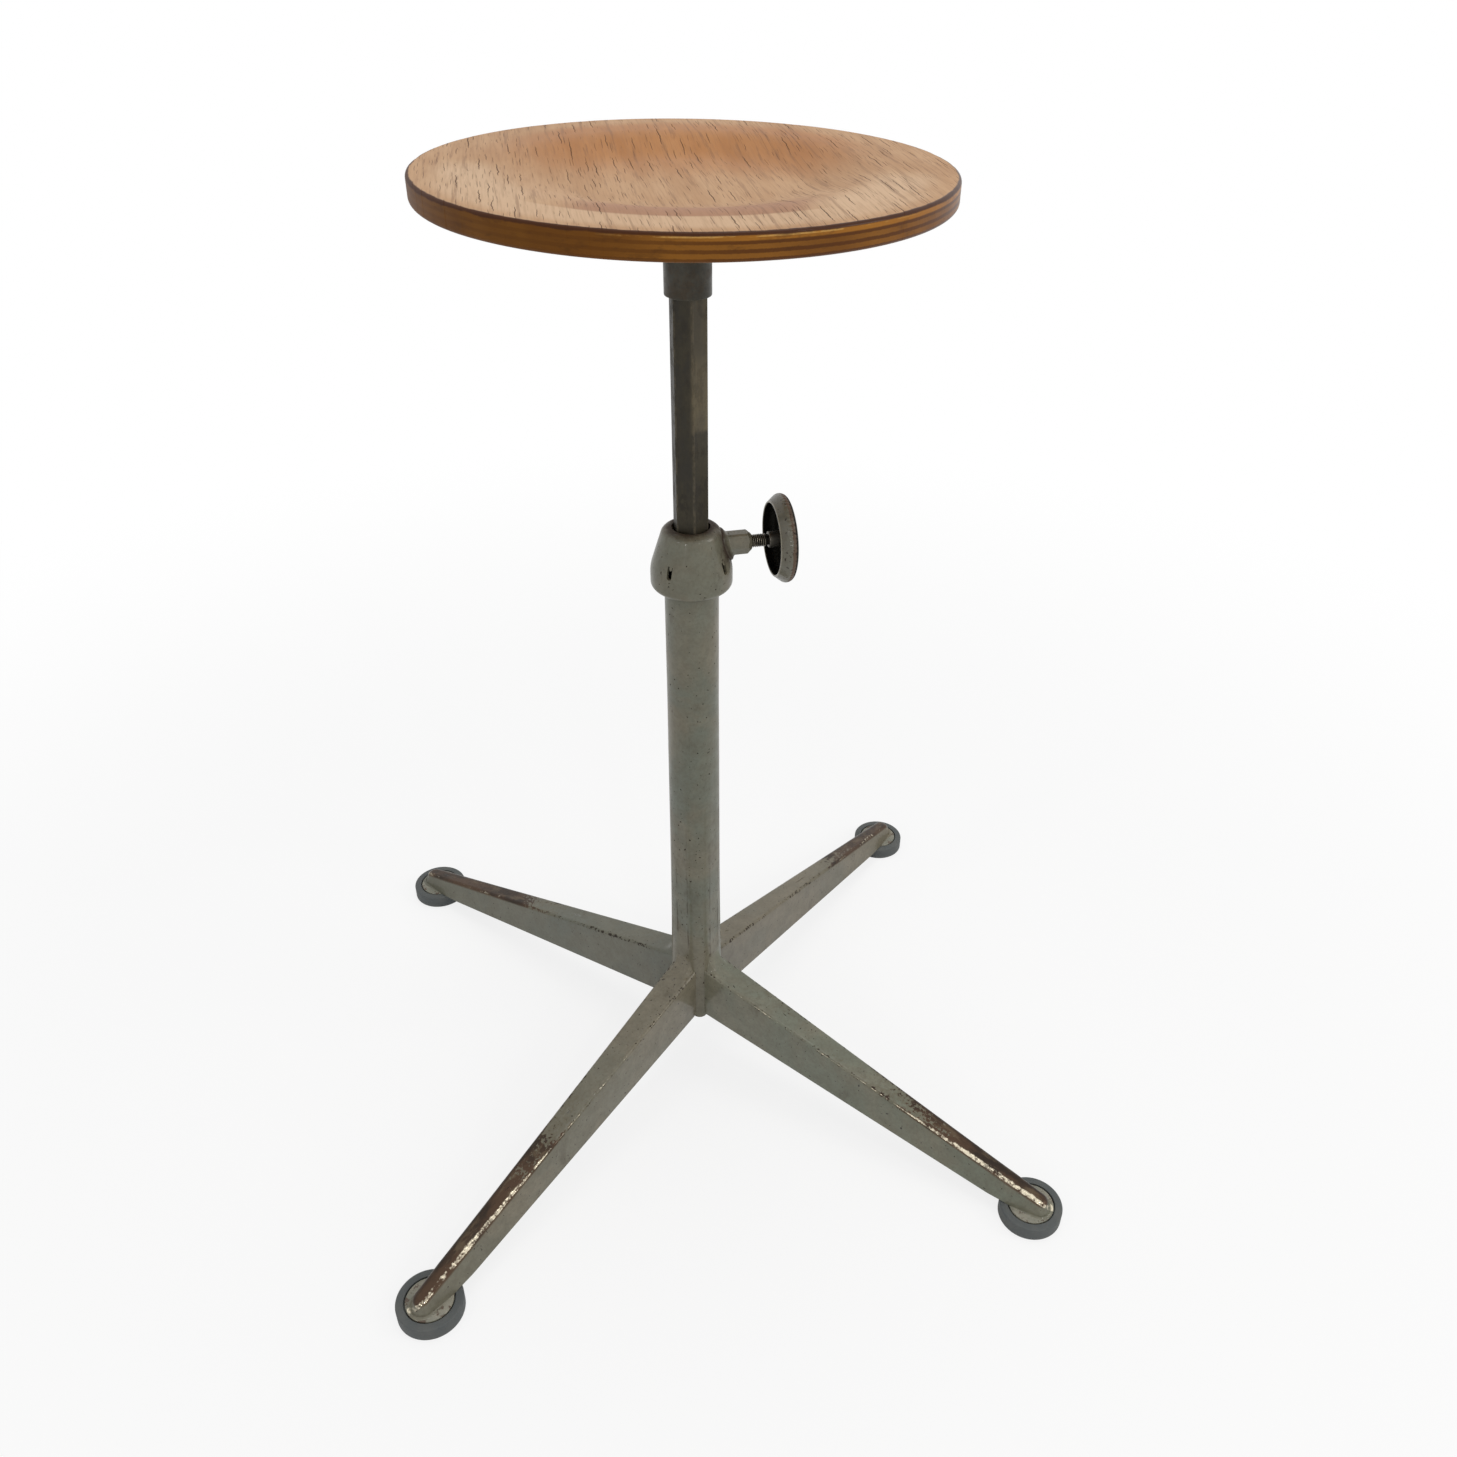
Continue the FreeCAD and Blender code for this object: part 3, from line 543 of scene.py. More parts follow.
def ring_outline(bore, rim, low, high, low_round, high_round):
    """A flat ring's section: its bore, its rim and two faces, with the rim's two edges rounded."""
    return bent([(bore, low), (rim, low), (rim, high), (bore, high)], [0, low_round, high_round, 0])


def turned(outline, columns=foot_columns, axis="z", middle=(0, 0, 0), radius_law=None):
    """Grid of an outline of radius and height turned round an axis. A radius law changes the radii
    of each row and angle, as for teeth or flats."""
    angle = np.linspace(0, math.tau, columns, endpoint=False)
    radius = outline[:, :1] + 0 * angle
    height = outline[:, 1:] + 0 * angle
    if radius_law is not None:
        radius = radius_law(radius, height, angle)
    return spun(radius, angle, height, axis, middle)


def rubber_finish():
    """Blue-grey moulded rubber: matt, dusty in patches, paler and scuffed at the foot."""
    finish = Finish("foot_rubber", Specular_IOR_Level=0.35)
    spot = finish.place
    dust = spot.noise(60, 4, 0.6).rise(0.38, 0.68)
    grain = spot.noise(420, 3)
    low = spot.split()[2].rise(4.5 * mm, 0.5 * mm)
    colour = dust.blend(tone(82, 86, 86), tone(96, 98, 96))
    finish.feed("Base Color", colour.coats((low * grain.rise(0.4, 0.6) * 0.5, 112, 113, 110)))
    finish.feed("Roughness", 0.62 + dust * 0.2)
    return finish.relief(grain, 0.12 * mm, 0.5)


def plate_finish():
    """Foot plate enamel: thin cream grey, rusted through in flakes."""
    finish = Finish("plate_enamel", Coat_Weight=0.2, Coat_Roughness=0.25)
    flake = finish.place.noise(150, 4, 0.65).rise(0.54, 0.60)
    cloud = finish.place.noise(60, 3).rise(0.35, 0.65)
    colour = cloud.blend(tone(136, 132, 116), tone(116, 116, 102))
    finish.feed("Base Color", colour.coats((flake * 0.85, 78, 58, 44)))
    finish.feed("Roughness", 0.4 + flake * 0.3)
    return finish.relief(1 - flake, 0.15 * mm, 0.7)


def steel_finish(name, colour, rough, metallic=0.85):
    """Dark steel: an even tone with darker oily clouds."""
    finish = Finish(name, Metallic=metallic)
    cloud = finish.place.noise(120, 4, 0.6).rise(0.35, 0.68)
    dark = tuple(0.6 * part for part in colour[:3]) + (1.0,)
    finish.feed("Base Color", cloud.blend(colour, dark))
    finish.feed("Roughness", rough + cloud * 0.12)
    return finish.relief(finish.place.noise(500, 3), 0.05 * mm, 0.5)


def dress(finish, *nodes):
    """Gives CAD nodes a material."""
    for name in nodes:
        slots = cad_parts[name].data.materials
        slots.clear()
        slots.append(finish.material)


fixing_steel = steel_finish("fixing_steel", tone(96, 92, 84), 0.38)
dress(fixing_steel, "foot_screws", "foot_nuts")
rubber = rubber_finish()
plate_enamel = plate_finish()
rubber_outline = bent([(rubber_bore, rubber_recess_depth), (rubber_recess, rubber_recess_depth),
                       (rubber_recess, 0), (rubber_radius, 0), (rubber_radius, plate_high),
                       (rubber_pocket, plate_high), (rubber_pocket, plate_low),
                       (rubber_bore, plate_low)],
                      [0, 0, 0, 0.8 * mm, 1.6 * mm, 0.6 * mm, 0, 0])
plate_outline = ring_outline(rubber_bore, plate_radius, plate_low, plate_high, 0.5 * mm, 1.0 * mm)
for name, way in zip(leg_names, leg_ways):
    middle = (foot_reach * math.cos(way), foot_reach * math.sin(way), 0)
    place("foot_ring_" + name, turned(rubber_outline, middle=middle), rubber, "base", "foot_rubber",
          "rubber_foot_" + name)
    place("foot_disc_" + name, turned(plate_outline, middle=middle), plate_enamel, "base", "enamel",
          "foot_plate_" + name)

# Clamp head: a bell pressed from sheet and welded over the column's mouth, with four
# lanced slots and a hole for the clamp screw. A steel guide inside it steers the stem.
head_top = 553.7 * mm
head_hole = 14.75 * mm
head_shoulder = 21.7 * mm
head_belly = 31.7 * mm
head_belly_height = 521.4 * mm
head_hem = 505.2 * mm
head_hem_drop = 1.8 * mm
head_wall = 2.5 * mm
head_columns = 288
slot_count = 4
slot_way = math.radians(45)
slot_half_width = 2.1 * mm
slot_middle = 526.5 * mm
slot_half_height = 5.0 * mm
slot_tongue = 2.8 * mm
screw_height = 536.5 * mm
screw_bore = 5.05 * mm
on_screw = (0, 0, screw_height)
past_wall = head_belly + 4 * mm


def bell_outline(inset):
    """Half outline of the bell or of its inside, from its hole down to the column."""
    corners = [(head_hole, head_top - inset), (head_shoulder - 0.6 * inset, head_top - inset - 0.7 * mm),
               (head_belly - inset, head_belly_height), (head_belly - inset, head_hem + 0.6 * inset),
               (column_radius, head_hem - head_hem_drop + inset)]
    radii = [0, 7 * mm - inset, 34 * mm, 4.8 * mm - inset, 0]
    return bent(corners, radii, 14)


def bell_stains(spot):
    """Brown round the hole and round the boss's foot, in patches below the boss and at the hem."""
    x, y, z = spot.split()
    cloud = spot.noise(150, 4, 0.65)
    blot = spot.mapped((1, 1, 0.7), shift=(0, 0.6, 0)).noise(60, 5, 0.7)
    ragged = cloud + blot
    hole = (x.beside(y) + ragged * 8 * mm).rise(31 * mm, 23.5 * mm) * z.rise(542 * mm, 548 * mm)
    off_axis = y.beside(z - screw_height)
    boss = (off_axis + ragged * 14 * mm).rise(35 * mm, 24 * mm) * x.rise(9 * mm, 17 * mm)
    bleed = blot.rise(0.50, 0.60) * x.rise(4 * mm, 22 * mm) * z.rise(503 * mm, 520 * mm)
    hem = z.rise(507 * mm, 504.5 * mm) * blot.rise(0.42, 0.54)
    return (hole * 0.85 + boss * 0.85 + bleed * 0.4 + hem * 0.5).least(0.92)


def slot_grid(angle):
    """A lanced slot's cutter: round foot, straight sides and a tongue hanging in its head. The same
    outline is carried out through the wall in two rows."""
    width = slot_half_width
    low = slot_middle - slot_half_height
    high = slot_middle + slot_half_height
    corners = [(-width, low), (width, low), (width, high), (0.75 * width, high),
               (0.75 * width, high - slot_tongue), (-0.2 * width, high - slot_tongue),
               (-0.35 * width, high), (-width, high)]
    shares = np.array([0.98, 0.98, 0.2, 0, 0.3, 0.4, 0, 0.4])
    outline = bent(corners, shares * width, 6)
    x = np.array([[column_radius + 1.5 * mm], [past_wall]]) + 0 * outline[:, 0]
    return faced(x, outline[:, 0] + 0 * x, outline[:, 1] + 0 * x, angle)


bell_enamel = enamel_finish("head_enamel", bell_stains, tone(116, 109, 91), tone(108, 108, 93))
bell = np.concatenate([bell_outline(0), bell_outline(head_wall)[::-1]])
head = place("clamp_bell", turned(bell, head_columns), bell_enamel, "base", "enamel", "clamp_head")
openings = [slot_grid(slot_way + i * math.tau / slot_count) for i in range(slot_count)]
screw_way = np.array([[screw_bore, column_radius - 2 * mm], [screw_bore, past_wall]])
openings.append(turned(screw_way, 64, "x", on_screw))
cutters = []
for opening in openings:
    cutter = added("head_cutter", surface("head_cutter", opening, closed=False, capped=True))
    cut = head.modifiers.new("opening", "BOOLEAN")
    cut.object = cutter
    cut.solver = "EXACT"
    cutters.append(cutter)
bpy.context.view_layer.update()
opened = bpy.data.meshes.new_from_object(head.evaluated_get(bpy.context.evaluated_depsgraph_get()))
opened.set_sharp_from_angle(angle=math.radians(32))
head.modifiers.clear()
head.data = opened
for cutter in cutters:
    bpy.data.objects.remove(cutter)
dress(steel_finish("guide_steel", tone(60, 56, 48), 0.5), "stem_guide")

# Boss: a hexagonal steel boss on the side of the bell, threaded for the clamp screw. Its
# foot is dressed to the bell's curve and welded, and the weld line has rusted.
boss_flat = 8.5 * mm
boss_corner_cut = 0.06
boss_reach = 46.5 * mm
boss_root = 24 * mm
boss_foot_radius = 13 * mm
boss_foot_thickness = 2.4 * mm
boss_fillet = 1.6 * mm
boss_end_radius = 6.4 * mm
boss_chamfer = 4 * mm
boss_columns = 192


def bell_radius(height):
    """Outside radius of the bell at a height, read off its outline."""
    outline = bell_outline(0)[::-1]
    return np.interp(height, outline[:, 1], outline[:, 0])


def hexagon_radius(angle, flat, corner_cut):
    """Radius of a hexagon with a flat on top, its corners turned down by a share of the flat."""
    fold = np.abs(angle % (math.pi / 3) - math.pi / 6)
    return np.minimum(flat / np.cos(fold), flat * (2 / math.sqrt(3) - corner_cut))


def boss_grid():
    """Foot that follows the bell and fades out at its rim, fillet, hexagonal shaft, coned end and
    bore. The foot's reach is the bell's radius at that height less the sideways run, by Pythagoras."""
    angle = np.linspace(0, math.tau, boss_columns, endpoint=False)
    shaft = hexagon_radius(angle, boss_flat, boss_corner_cut)
    ring = np.linspace(1, 0, 14)[:, None]
    radius = shaft + (boss_foot_radius - shaft) * ring
    side = radius * np.cos(angle)
    up = screw_height + radius * np.sin(angle)
    bulge = boss_foot_thickness * np.sqrt(np.clip(1 - ring**2.5, 0, 1)) - 0.25 * mm * ring**8
    foot = np.sqrt(bell_radius(up) ** 2 - side**2) + bulge + (1 - ring) ** 4 * boss_fillet
    start = foot[-1] + 0.2 * mm
    cone_from = boss_reach - boss_chamfer
    shaft_x = start + (cone_from - start) * np.linspace(0, 1, 8)[:, None]
    cone_x = np.linspace(cone_from, boss_reach, 9)[:, None] + 0 * angle
    spread = (boss_flat * 2 / math.sqrt(3) - boss_end_radius) / boss_chamfer
    cone = boss_end_radius + (boss_reach - cone_x) * spread
    end_x = np.array([boss_reach, boss_reach - 0.4 * mm, boss_root])[:, None] + 0 * angle
    end_radius = np.array([screw_bore + 0.4 * mm, screw_bore, screw_bore])[:, None] + 0 * angle
    root = np.stack([boss_root + 0 * angle, boss_foot_radius - 1.5 * mm + 0 * angle])
    x = np.concatenate([root[:1], foot, shaft_x, cone_x, end_x])
    radii = np.concatenate([root[1:], radius, shaft + 0 * shaft_x, np.minimum(shaft, cone), end_radius])
    return spun(radii, angle, x, "x", on_screw)


def boss_stains(spot):
    """Rust in the weld line, and brown that creeps out along the shaft from it."""
    x, y, z = spot.split()
    off_axis = y.beside(z - screw_height)
    seam = off_axis.rise(12.0 * mm, 12.9 * mm)
    creep = (off_axis - spot.noise(170, 4, 0.65) * 6 * mm).rise(5.5 * mm, 9.5 * mm)
    return (seam * 0.95).most(creep * x.rise(38 * mm, 30 * mm) * 0.75)


place("clamp_boss_body", boss_grid(), enamel_finish("boss_enamel", boss_stains), "base", "enamel",
      "clamp_boss")

# Stem: hexagonal bar bored through, 24 mm across flats, handled bare until it went
# dark brown. A turned collar is pressed over its top, and a ring pinned to its foot.
stem_low, stem_high = (corner.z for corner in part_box("stem"))
stem_flat = 12 * mm
stem_corner = 0.8 * mm
stem_bore = 9 * mm
stem_ease = 0.5 * mm
stem_columns = 240
collar_low, collar_high = (corner.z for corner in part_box("stem_collar"))
collar_radius = 16.4 * mm
collar_hole = 10.05 * mm
collar_foot_chamfer = 0.8 * mm
collar_top_chamfer = 1 * mm
collar_socket_top = collar_low + 8 * mm
collar_cavity_top = collar_low + 12 * mm
collar_cavity = 11 * mm
on_bar = -1


def stem_radius(angle):
    return rounded_polygon(angle, 6, stem_flat, stem_corner)


def stem_grid():
    """Outside of the bar from foot to top, then the bore back down."""
    bar = np.linspace(stem_low + stem_ease, stem_high - stem_ease, 40)[1:]
    heights = np.array([stem_low, stem_low + stem_ease, *bar, stem_high, stem_high, stem_low])
    angle = np.linspace(0, math.tau, stem_columns, endpoint=False)
    radius = stem_radius(angle) + 0 * heights[:, None]
    radius[0] -= stem_ease
    radius[-3] -= stem_ease
    radius[-2:] = stem_bore
    return spun(radius, angle, heights[:, None])


def stem_finish():
    """Bare steel gone dark: tan where hands rub it, black grease in smears and a fine drawn grain.
    The faces towards the light are painted lighter as a painted highlight, and the tan lies only
    on that side, so it is partly painted light. The six corners, where the bar's radius is the
    largest, are rubbed a little paler."""
    finish = Finish("stem_steel", Specular_IOR_Level=0.4)
    spot = finish.place
    x, y, z = spot.split()
    drawn = spot.mapped((1, 1, 0.02)).noise(900, 2, 0.5)
    cloud = spot.mapped((1, 1, 0.35)).noise(80, 5, 0.65)
    smear = spot.mapped((1, 1, 0.6), shift=(0.3, 0, 0)).noise(120, 5, 0.7).rise(0.50, 0.60)
    # Painted highlight: the faces on the +X side, towards the light, are painted lighter.
    lit_side_highlight = (x * 0.87 - y * 0.5).rise(3 * mm, 9 * mm)
    wavy = z + (cloud - 0.5) * 12 * mm
    # Tan wear from hands, laid on the lit side only, so partly painted light.
    handled = lit_side_highlight * wavy.rise(629 * mm, 633 * mm) * (1 - 0.6 * wavy.rise(674 * mm, 692 * mm))
    mottle = spot.mapped((1, 1, 0.6), shift=(0, 0.4, 0)).noise(230, 4, 0.7).rise(0.40, 0.62)
    corners = x.beside(y).rise(13.15 * mm, 13.45 * mm)
    finish.feed("Base Color", cloud.rise(0.36, 0.66).blend(tone(38, 34, 25), tone(56, 51, 38)).coats(
        (mottle * 0.35, 30, 26, 18),
        (lit_side_highlight * 0.35, 70, 64, 50),
        (handled * (0.5 + 0.3 * cloud.rise(0.4, 0.6)), 104, 94, 72),
        (smear * (0.25 + 0.35 * z.rise(640 * mm, 580 * mm)), 32, 27, 19),
        (corners * 0.3 * mottle, 112, 102, 82)))
    finish.feed("Metallic", 0.25 + 0.2 * cloud.rise(0.4, 0.6) - smear * 0.2)
    finish.feed("Roughness", 0.42 + smear * 0.18 + drawn * 0.14)
    return finish.relief(drawn * 0.6 + cloud * 0.4, 0.08 * mm, 0.7)


def collar_law(radius, height, angle):
    """Rows whose radius is the mark on_bar, at the socket's mouth and top, follow the bar."""
    return np.where(radius == on_bar, stem_radius(angle), radius)


def collar_finish():
    """The collar's olive-brown patina, brighter on its turned top edge, where bare steel carries a
    painted highlight.
    """
    finish = Finish("collar_steel", Specular_IOR_Level=0.5)
    spot = finish.place
    z = spot.split()[2]
    turned_lines = spot.mapped((0.02, 0.02, 1)).noise(2600, 2)
    cloud = spot.noise(90, 4, 0.6).rise(0.35, 0.68)
    # Painted highlight on the turned top edge, over bare steel.
    edge = z.rise(collar_high - 1.3 * mm, collar_high - 0.7 * mm)
    foot = z.rise(collar_low + 1.2 * mm, collar_low + 0.5 * mm)
    rust = spot.mapped(shift=(0.5, 0, 0)).noise(45, 5, 0.7).rise(0.48, 0.62)
    grit = spot.noise(380, 3, 0.6).rise(0.52, 0.66)
    finish.feed("Base Color", cloud.blend(tone(56, 53, 41), tone(44, 41, 30)).coats(
        (rust * 0.7, 58, 46, 28),
        (grit * 0.4, 34, 30, 22),
        (edge, 128, 120, 104),
        (foot * 0.4, 84, 78, 60)))
    finish.feed("Metallic", 0.25 + 0.5 * edge)
    finish.feed("Roughness", 0.36 + cloud * 0.14 + rust * 0.12)
    return finish.relief(turned_lines * 0.6 - grit * 0.4, 0.06 * mm, 0.6)


def bronze_finish():
    """Plain bearing bronze, dull and brown with old grease."""
    finish = Finish("bearing_bronze", Metallic=0.9)
    cloud = finish.place.noise(140, 4, 0.6).rise(0.35, 0.68)
    finish.feed("Base Color", cloud.blend(tone(168, 130, 78), tone(98, 74, 44)))
    finish.feed("Roughness", 0.34 + cloud * 0.2)
    return finish


stem_steel = stem_finish()
place("stem_bar", stem_grid(), stem_steel, "stem_group", "stem_steel", "stem", crease=28)
collar_skin = bent([(collar_radius - collar_foot_chamfer, collar_low),
                    (collar_radius, collar_low + collar_foot_chamfer),
                    (collar_radius, collar_high - collar_top_chamfer),
                    (collar_radius - collar_top_chamfer, collar_high), (collar_hole, collar_high)],
                   [0.5 * mm, 0.7 * mm, 0.4 * mm, 0.4 * mm, 0])
collar_outline = np.concatenate([
    np.array([[on_bar, collar_low]]), collar_skin,
    np.array([[collar_hole, collar_cavity_top], [collar_cavity, collar_cavity_top],
              [collar_cavity, collar_socket_top], [on_bar, collar_socket_top]])])
place("collar_turned", turned(collar_outline, stem_columns, radius_law=collar_law), collar_finish(),
      "stem_group", "stem_steel", "stem_collar", crease=25)
dress(stem_steel, "stem_stop")
dress(fixing_steel, "stem_stop_pin", "thrust_washer")
dress(bronze_finish(), "swivel_bush", "clamp_pad")

# Clamp screw and handwheel: an M10 screw through the boss carries a cup pressed from
# sheet, enamelled outside and bare inside, painted dark there as painted shade, held against a
# hub by a nut on its face.
wheel_lip, wheel_lip_reach = 28.9 * mm, 63.2 * mm
wheel_rim, wheel_rim_reach = 34.8 * mm, 70.5 * mm
wheel_face = 76.5 * mm
wheel_face_setback = 1.8 * mm
wheel_sheet = 1.8 * mm
wheel_bore = 4.05 * mm
wheel_teeth = 60
wheel_columns = 600
tooth_depth = 0.28 * mm
screw_major = 5.0 * mm
screw_minor = 4.25 * mm
screw_pitch = 1.5 * mm
screw_tip, screw_tip_length = 3 * mm, 6.5 * mm
screw_tail = 4 * mm
screw_end = 82 * mm
screw_end_chamfer = 0.8 * mm
thread_from, thread_to = 27.8 * mm, 58.8 * mm
hub_from, hub_radius = 60.3 * mm, 6.2 * mm
nut_flat, nut_corner, nut_face = 6.5 * mm, 7.6 * mm, 6.4 * mm
nut_corner_cut = 0.02
nut_to, nut_cone, nut_bore_mouth = 80.5 * mm, 0.7 * mm, 4.7 * mm


def thread_law(radius, height, angle):
    """Between the thread's ends the radius is a flat-topped wave of the turn less the advance."""
    phase = np.abs(((height - thread_from) / screw_pitch - angle / math.tau) % 1 - 0.5) * 2
    wave = screw_minor + (screw_major - screw_minor) * np.clip(1.35 * phase - 0.1, 0, 1)
    fade = np.clip((height - thread_from) / mm, 0, 1) * np.clip((thread_to - height) / mm, 0, 1)
    threaded = screw_minor + (wave - screw_minor) * fade
    return np.where((height > thread_from) & (height < thread_to), threaded, radius)


def screw_outline():
    """Round tip, turned-down neck, thread, and the plain tail that carries the wheel and nut."""
    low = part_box("clamp_screw")[0].x
    neck = low + screw_tip_length
    thread = np.arange(thread_from, thread_to, screw_pitch / 14)
    return np.concatenate([
        np.array([[0, low], [screw_tip - 0.5 * mm, low], [screw_tip, low + 0.5 * mm],
                  [screw_tip, neck], [screw_minor, neck], [screw_minor, thread_from]]),
        np.stack([screw_minor + 0 * thread, thread], -1),
        np.array([[screw_minor, thread_to], [screw_minor, hub_from], [screw_tail, hub_from],
                  [screw_tail, screw_end - screw_end_chamfer],
                  [screw_tail - screw_end_chamfer, screw_end], [0, screw_end]])])


def thread_finish():
    """Blackened thread with bright crests where the boss has rubbed them."""
    finish = Finish("thread_steel", Metallic=0.8)
    spot = finish.place
    y, z = spot.split()[1:]
    crest = y.beside(z - screw_height).rise(4.75 * mm, 4.98 * mm)
    grease = spot.noise(200, 4, 0.6).rise(0.4, 0.65)
    colour = (crest * (1 - grease * 0.6)).blend(tone(38, 35, 30), tone(150, 142, 126))
    finish.feed("Base Color", colour)
    finish.feed("Roughness", 0.32 + grease * 0.25)
    return finish


def wheel_law(radius, height, angle):
    """Sixty round notches pressed round the shoulder, deepest at its widest line."""
    notch = 0.5 + 0.5 * np.cos(wheel_teeth * angle)
    band = np.clip(1.5 - np.abs(height - wheel_rim_reach - 1.2 * mm) / (2.2 * mm), 0, 1)
    outer = radius > wheel_rim - 4 * mm
    return radius - tooth_depth * notch**2 * band * outer


def wheel_outline():
    """Lip, flared side, shoulder and face, then back inside the sheet."""
    rim = wheel_rim - wheel_face_setback
    inner_face = wheel_face - wheel_sheet
    skin = [(wheel_lip, wheel_lip_reach), (wheel_rim, wheel_rim_reach), (rim, wheel_face),
            (wheel_bore, wheel_face), (wheel_bore, inner_face), (rim - wheel_sheet, inner_face),
            (wheel_rim - wheel_sheet, wheel_rim_reach), (wheel_lip - wheel_sheet, wheel_lip_reach)]
    return bent(skin, [0.5 * mm, 5 * mm, 4.4 * mm, 0, 0, 2.6 * mm, 3.2 * mm, 0.5 * mm], 14)


def wheel_finish():
    """Enamel outside, worn to red-brown on the teeth and chipped; bare inside, and painted nearly
    black there as painted shade in the cup.
    """
    finish = Finish("wheel_enamel", Coat_Roughness=0.14, Specular_IOR_Level=0.22)
    spot = finish.place
    x, y, z = spot.split()
    radius = y.beside(z - screw_height)
    rough_noise = spot.noise(120, 5, 0.65)
    fine_noise = spot.noise(420, 3, 0.6)
    shoulder = (x - wheel_rim_reach).rise(-0.5 * mm, 1.5 * mm) * radius.rise(31 * mm, 33.5 * mm)
    flare = (wheel_rim - wheel_lip) / (wheel_rim_reach - wheel_lip_reach)
    skin = (wheel_lip + (x - wheel_lip_reach) * flare).least(wheel_rim)
    inside = (skin - radius).rise(0.9 * mm, 1.4 * mm)
    inside = inside * x.rise(wheel_face - 0.8 * mm, wheel_face - 1.2 * mm)
    lip = x.rise(wheel_lip_reach + 0.7 * mm, wheel_lip_reach + 0.3 * mm)
    paint, fine = enamel_paint(spot, tone(103, 99, 84), tone(108, 107, 96))[:2]
    worn = (shoulder * 0.42 + rough_noise * 0.7 + fine_noise * 0.5).rise(0.80, 0.98)
    chips = (fine_noise * 0.8 + rough_noise * 0.5).rise(0.75, 0.78)
    outside = paint.coats((worn * 0.75, 86, 62, 46), (chips * 0.9, 38, 28, 22))
    # Painted shade: the inside of the cup is painted nearly black.
    colour = inside.blend(outside, fine.blend(tone(18, 17, 13), tone(28, 27, 22)))
    rubbed = lip * (0.35 + 0.5 * rough_noise.rise(0.4, 0.6))
    finish.feed("Base Color", colour.coats((rubbed, 156, 150, 132)))
    finish.feed("Roughness", 0.40 + worn * 0.15 + inside * 0.3)
    finish.feed("Coat Weight", 0.4 * (1 - inside) * (1 - worn * 0.8) * (1 - chips))
    return finish.relief(fine_noise * 0.4 - chips * 0.5, 0.12 * mm, 0.7)


def nut_law(radius, height, angle):
    """Hexagon cut by the outline's radius, which cones it at both faces."""
    hexagon = hexagon_radius(angle, nut_flat, nut_corner_cut)
    return np.where(radius > nut_bore_mouth, np.minimum(hexagon, radius), radius)


hub_outline = ring_outline(wheel_bore, hub_radius, hub_from, wheel_face - wheel_sheet, 0.6 * mm, 0)
nut_outline = np.array([(wheel_bore, wheel_face), (nut_face, wheel_face),
                        (nut_corner, wheel_face + nut_cone), (nut_corner, nut_to - nut_cone),
                        (nut_face, nut_to), (nut_bore_mouth, nut_to), (wheel_bore, nut_to - 0.6 * mm)])
place("screw_threaded", turned(screw_outline(), 72, "x", on_screw, thread_law), thread_finish(),
      "screw_group", "dark_steel", "clamp_screw", closed=False, crease=60)
place("wheel_cup", turned(wheel_outline(), wheel_columns, "x", on_screw, wheel_law), wheel_finish(),
      "screw_group", "enamel", "handwheel")
place("wheel_hub", turned(hub_outline, 96, "x", on_screw), fixing_steel, "screw_group", "dark_steel",
      "handwheel_hub")
place("wheel_nut", turned(nut_outline, 144, "x", on_screw, nut_law), fixing_steel, "screw_group",
      "dark_steel", "handwheel_nut")

# Seat fittings: a steel plate screwed under the board, with a hub welded to it that holds
# the swivel's spindle. A washer and a clip keep the spindle in the collar.
under_low, under_high = (corner.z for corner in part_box("seat_plate"))
under_radius = 55 * mm
seat_hub_low, seat_hub_high = (corner.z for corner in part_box("seat_hub"))
seat_hub_radius = 15 * mm
spindle_hole = 8.05 * mm
plate_steel = steel_finish("plate_steel", tone(74, 70, 58), 0.42, 0.6)
under_outline = ring_outline(spindle_hole, under_radius, under_low, under_high, 0.8 * mm, 0.8 * mm)
seat_hub_outline = ring_outline(spindle_hole, seat_hub_radius, seat_hub_low, seat_hub_high, 0.8 * mm, 0)
place("under_plate", turned(under_outline, 192), plate_steel, "seat_group", "dark_steel", "seat_plate")
place("under_hub", turned(seat_hub_outline, 144), plate_steel, "seat_group", "dark_steel", "seat_hub")
dress(fixing_steel, "seat_screws", "swivel_spindle", "spindle_washer", "spindle_clip")

# Seat: a round board of beech plies pressed to a shallow dish, 350 mm across. The top
# veneer is worn pale and checked along its grain, with painted shade and painted highlights
# over the dish, and the lacquered edge shows the plies.
seat_radius = 175 * mm
seat_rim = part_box("seat")[1].z
seat_thickness = 16 * mm
seat_dish = 9 * mm
seat_brow = 119 * mm
seat_floor = 76 * mm
seat_bend = 115 * mm
seat_edge_round = 3 * mm
seat_top_round = 2.4 * mm
seat_columns = 512
seat_grain = math.radians(86.5)
seat_back_x, seat_back_y = 0.26, 0.966
ply_count = 7
knock_depth = 0.16 * mm


def seat_outline():
    """Dish, brow, flat rim, rounded edge and the same form back underneath."""
    under = seat_rim - seat_thickness
    corners = [(0, seat_rim - seat_dish), (seat_floor, seat_rim - seat_dish), (seat_brow, seat_rim),
               (seat_radius, seat_rim), (seat_radius, under), (seat_brow, under),
               (seat_floor, under - seat_dish), (0, under - seat_dish)]
    radii = [0, seat_bend, seat_bend, seat_top_round, seat_edge_round, seat_bend, seat_bend, 0]
    return bent(corners, radii, 16)


def seat_law(radius, height, angle):
    """Knocks along the top edge: shallow dents whose depth is a sum of sines of the angle."""
    knocks = np.sin(7 * angle + 1) + np.sin(13 * angle + 2) + np.sin(29 * angle)
    knocks = knocks + 0.7 * np.sin(61 * angle + 4)
    near_edge = np.clip(1 - (seat_rim - height) / (3 * mm), 0, 1) * (radius > seat_radius - 3 * mm)
    return radius - knock_depth * np.clip(knocks - 0.4, 0, 3) * near_edge


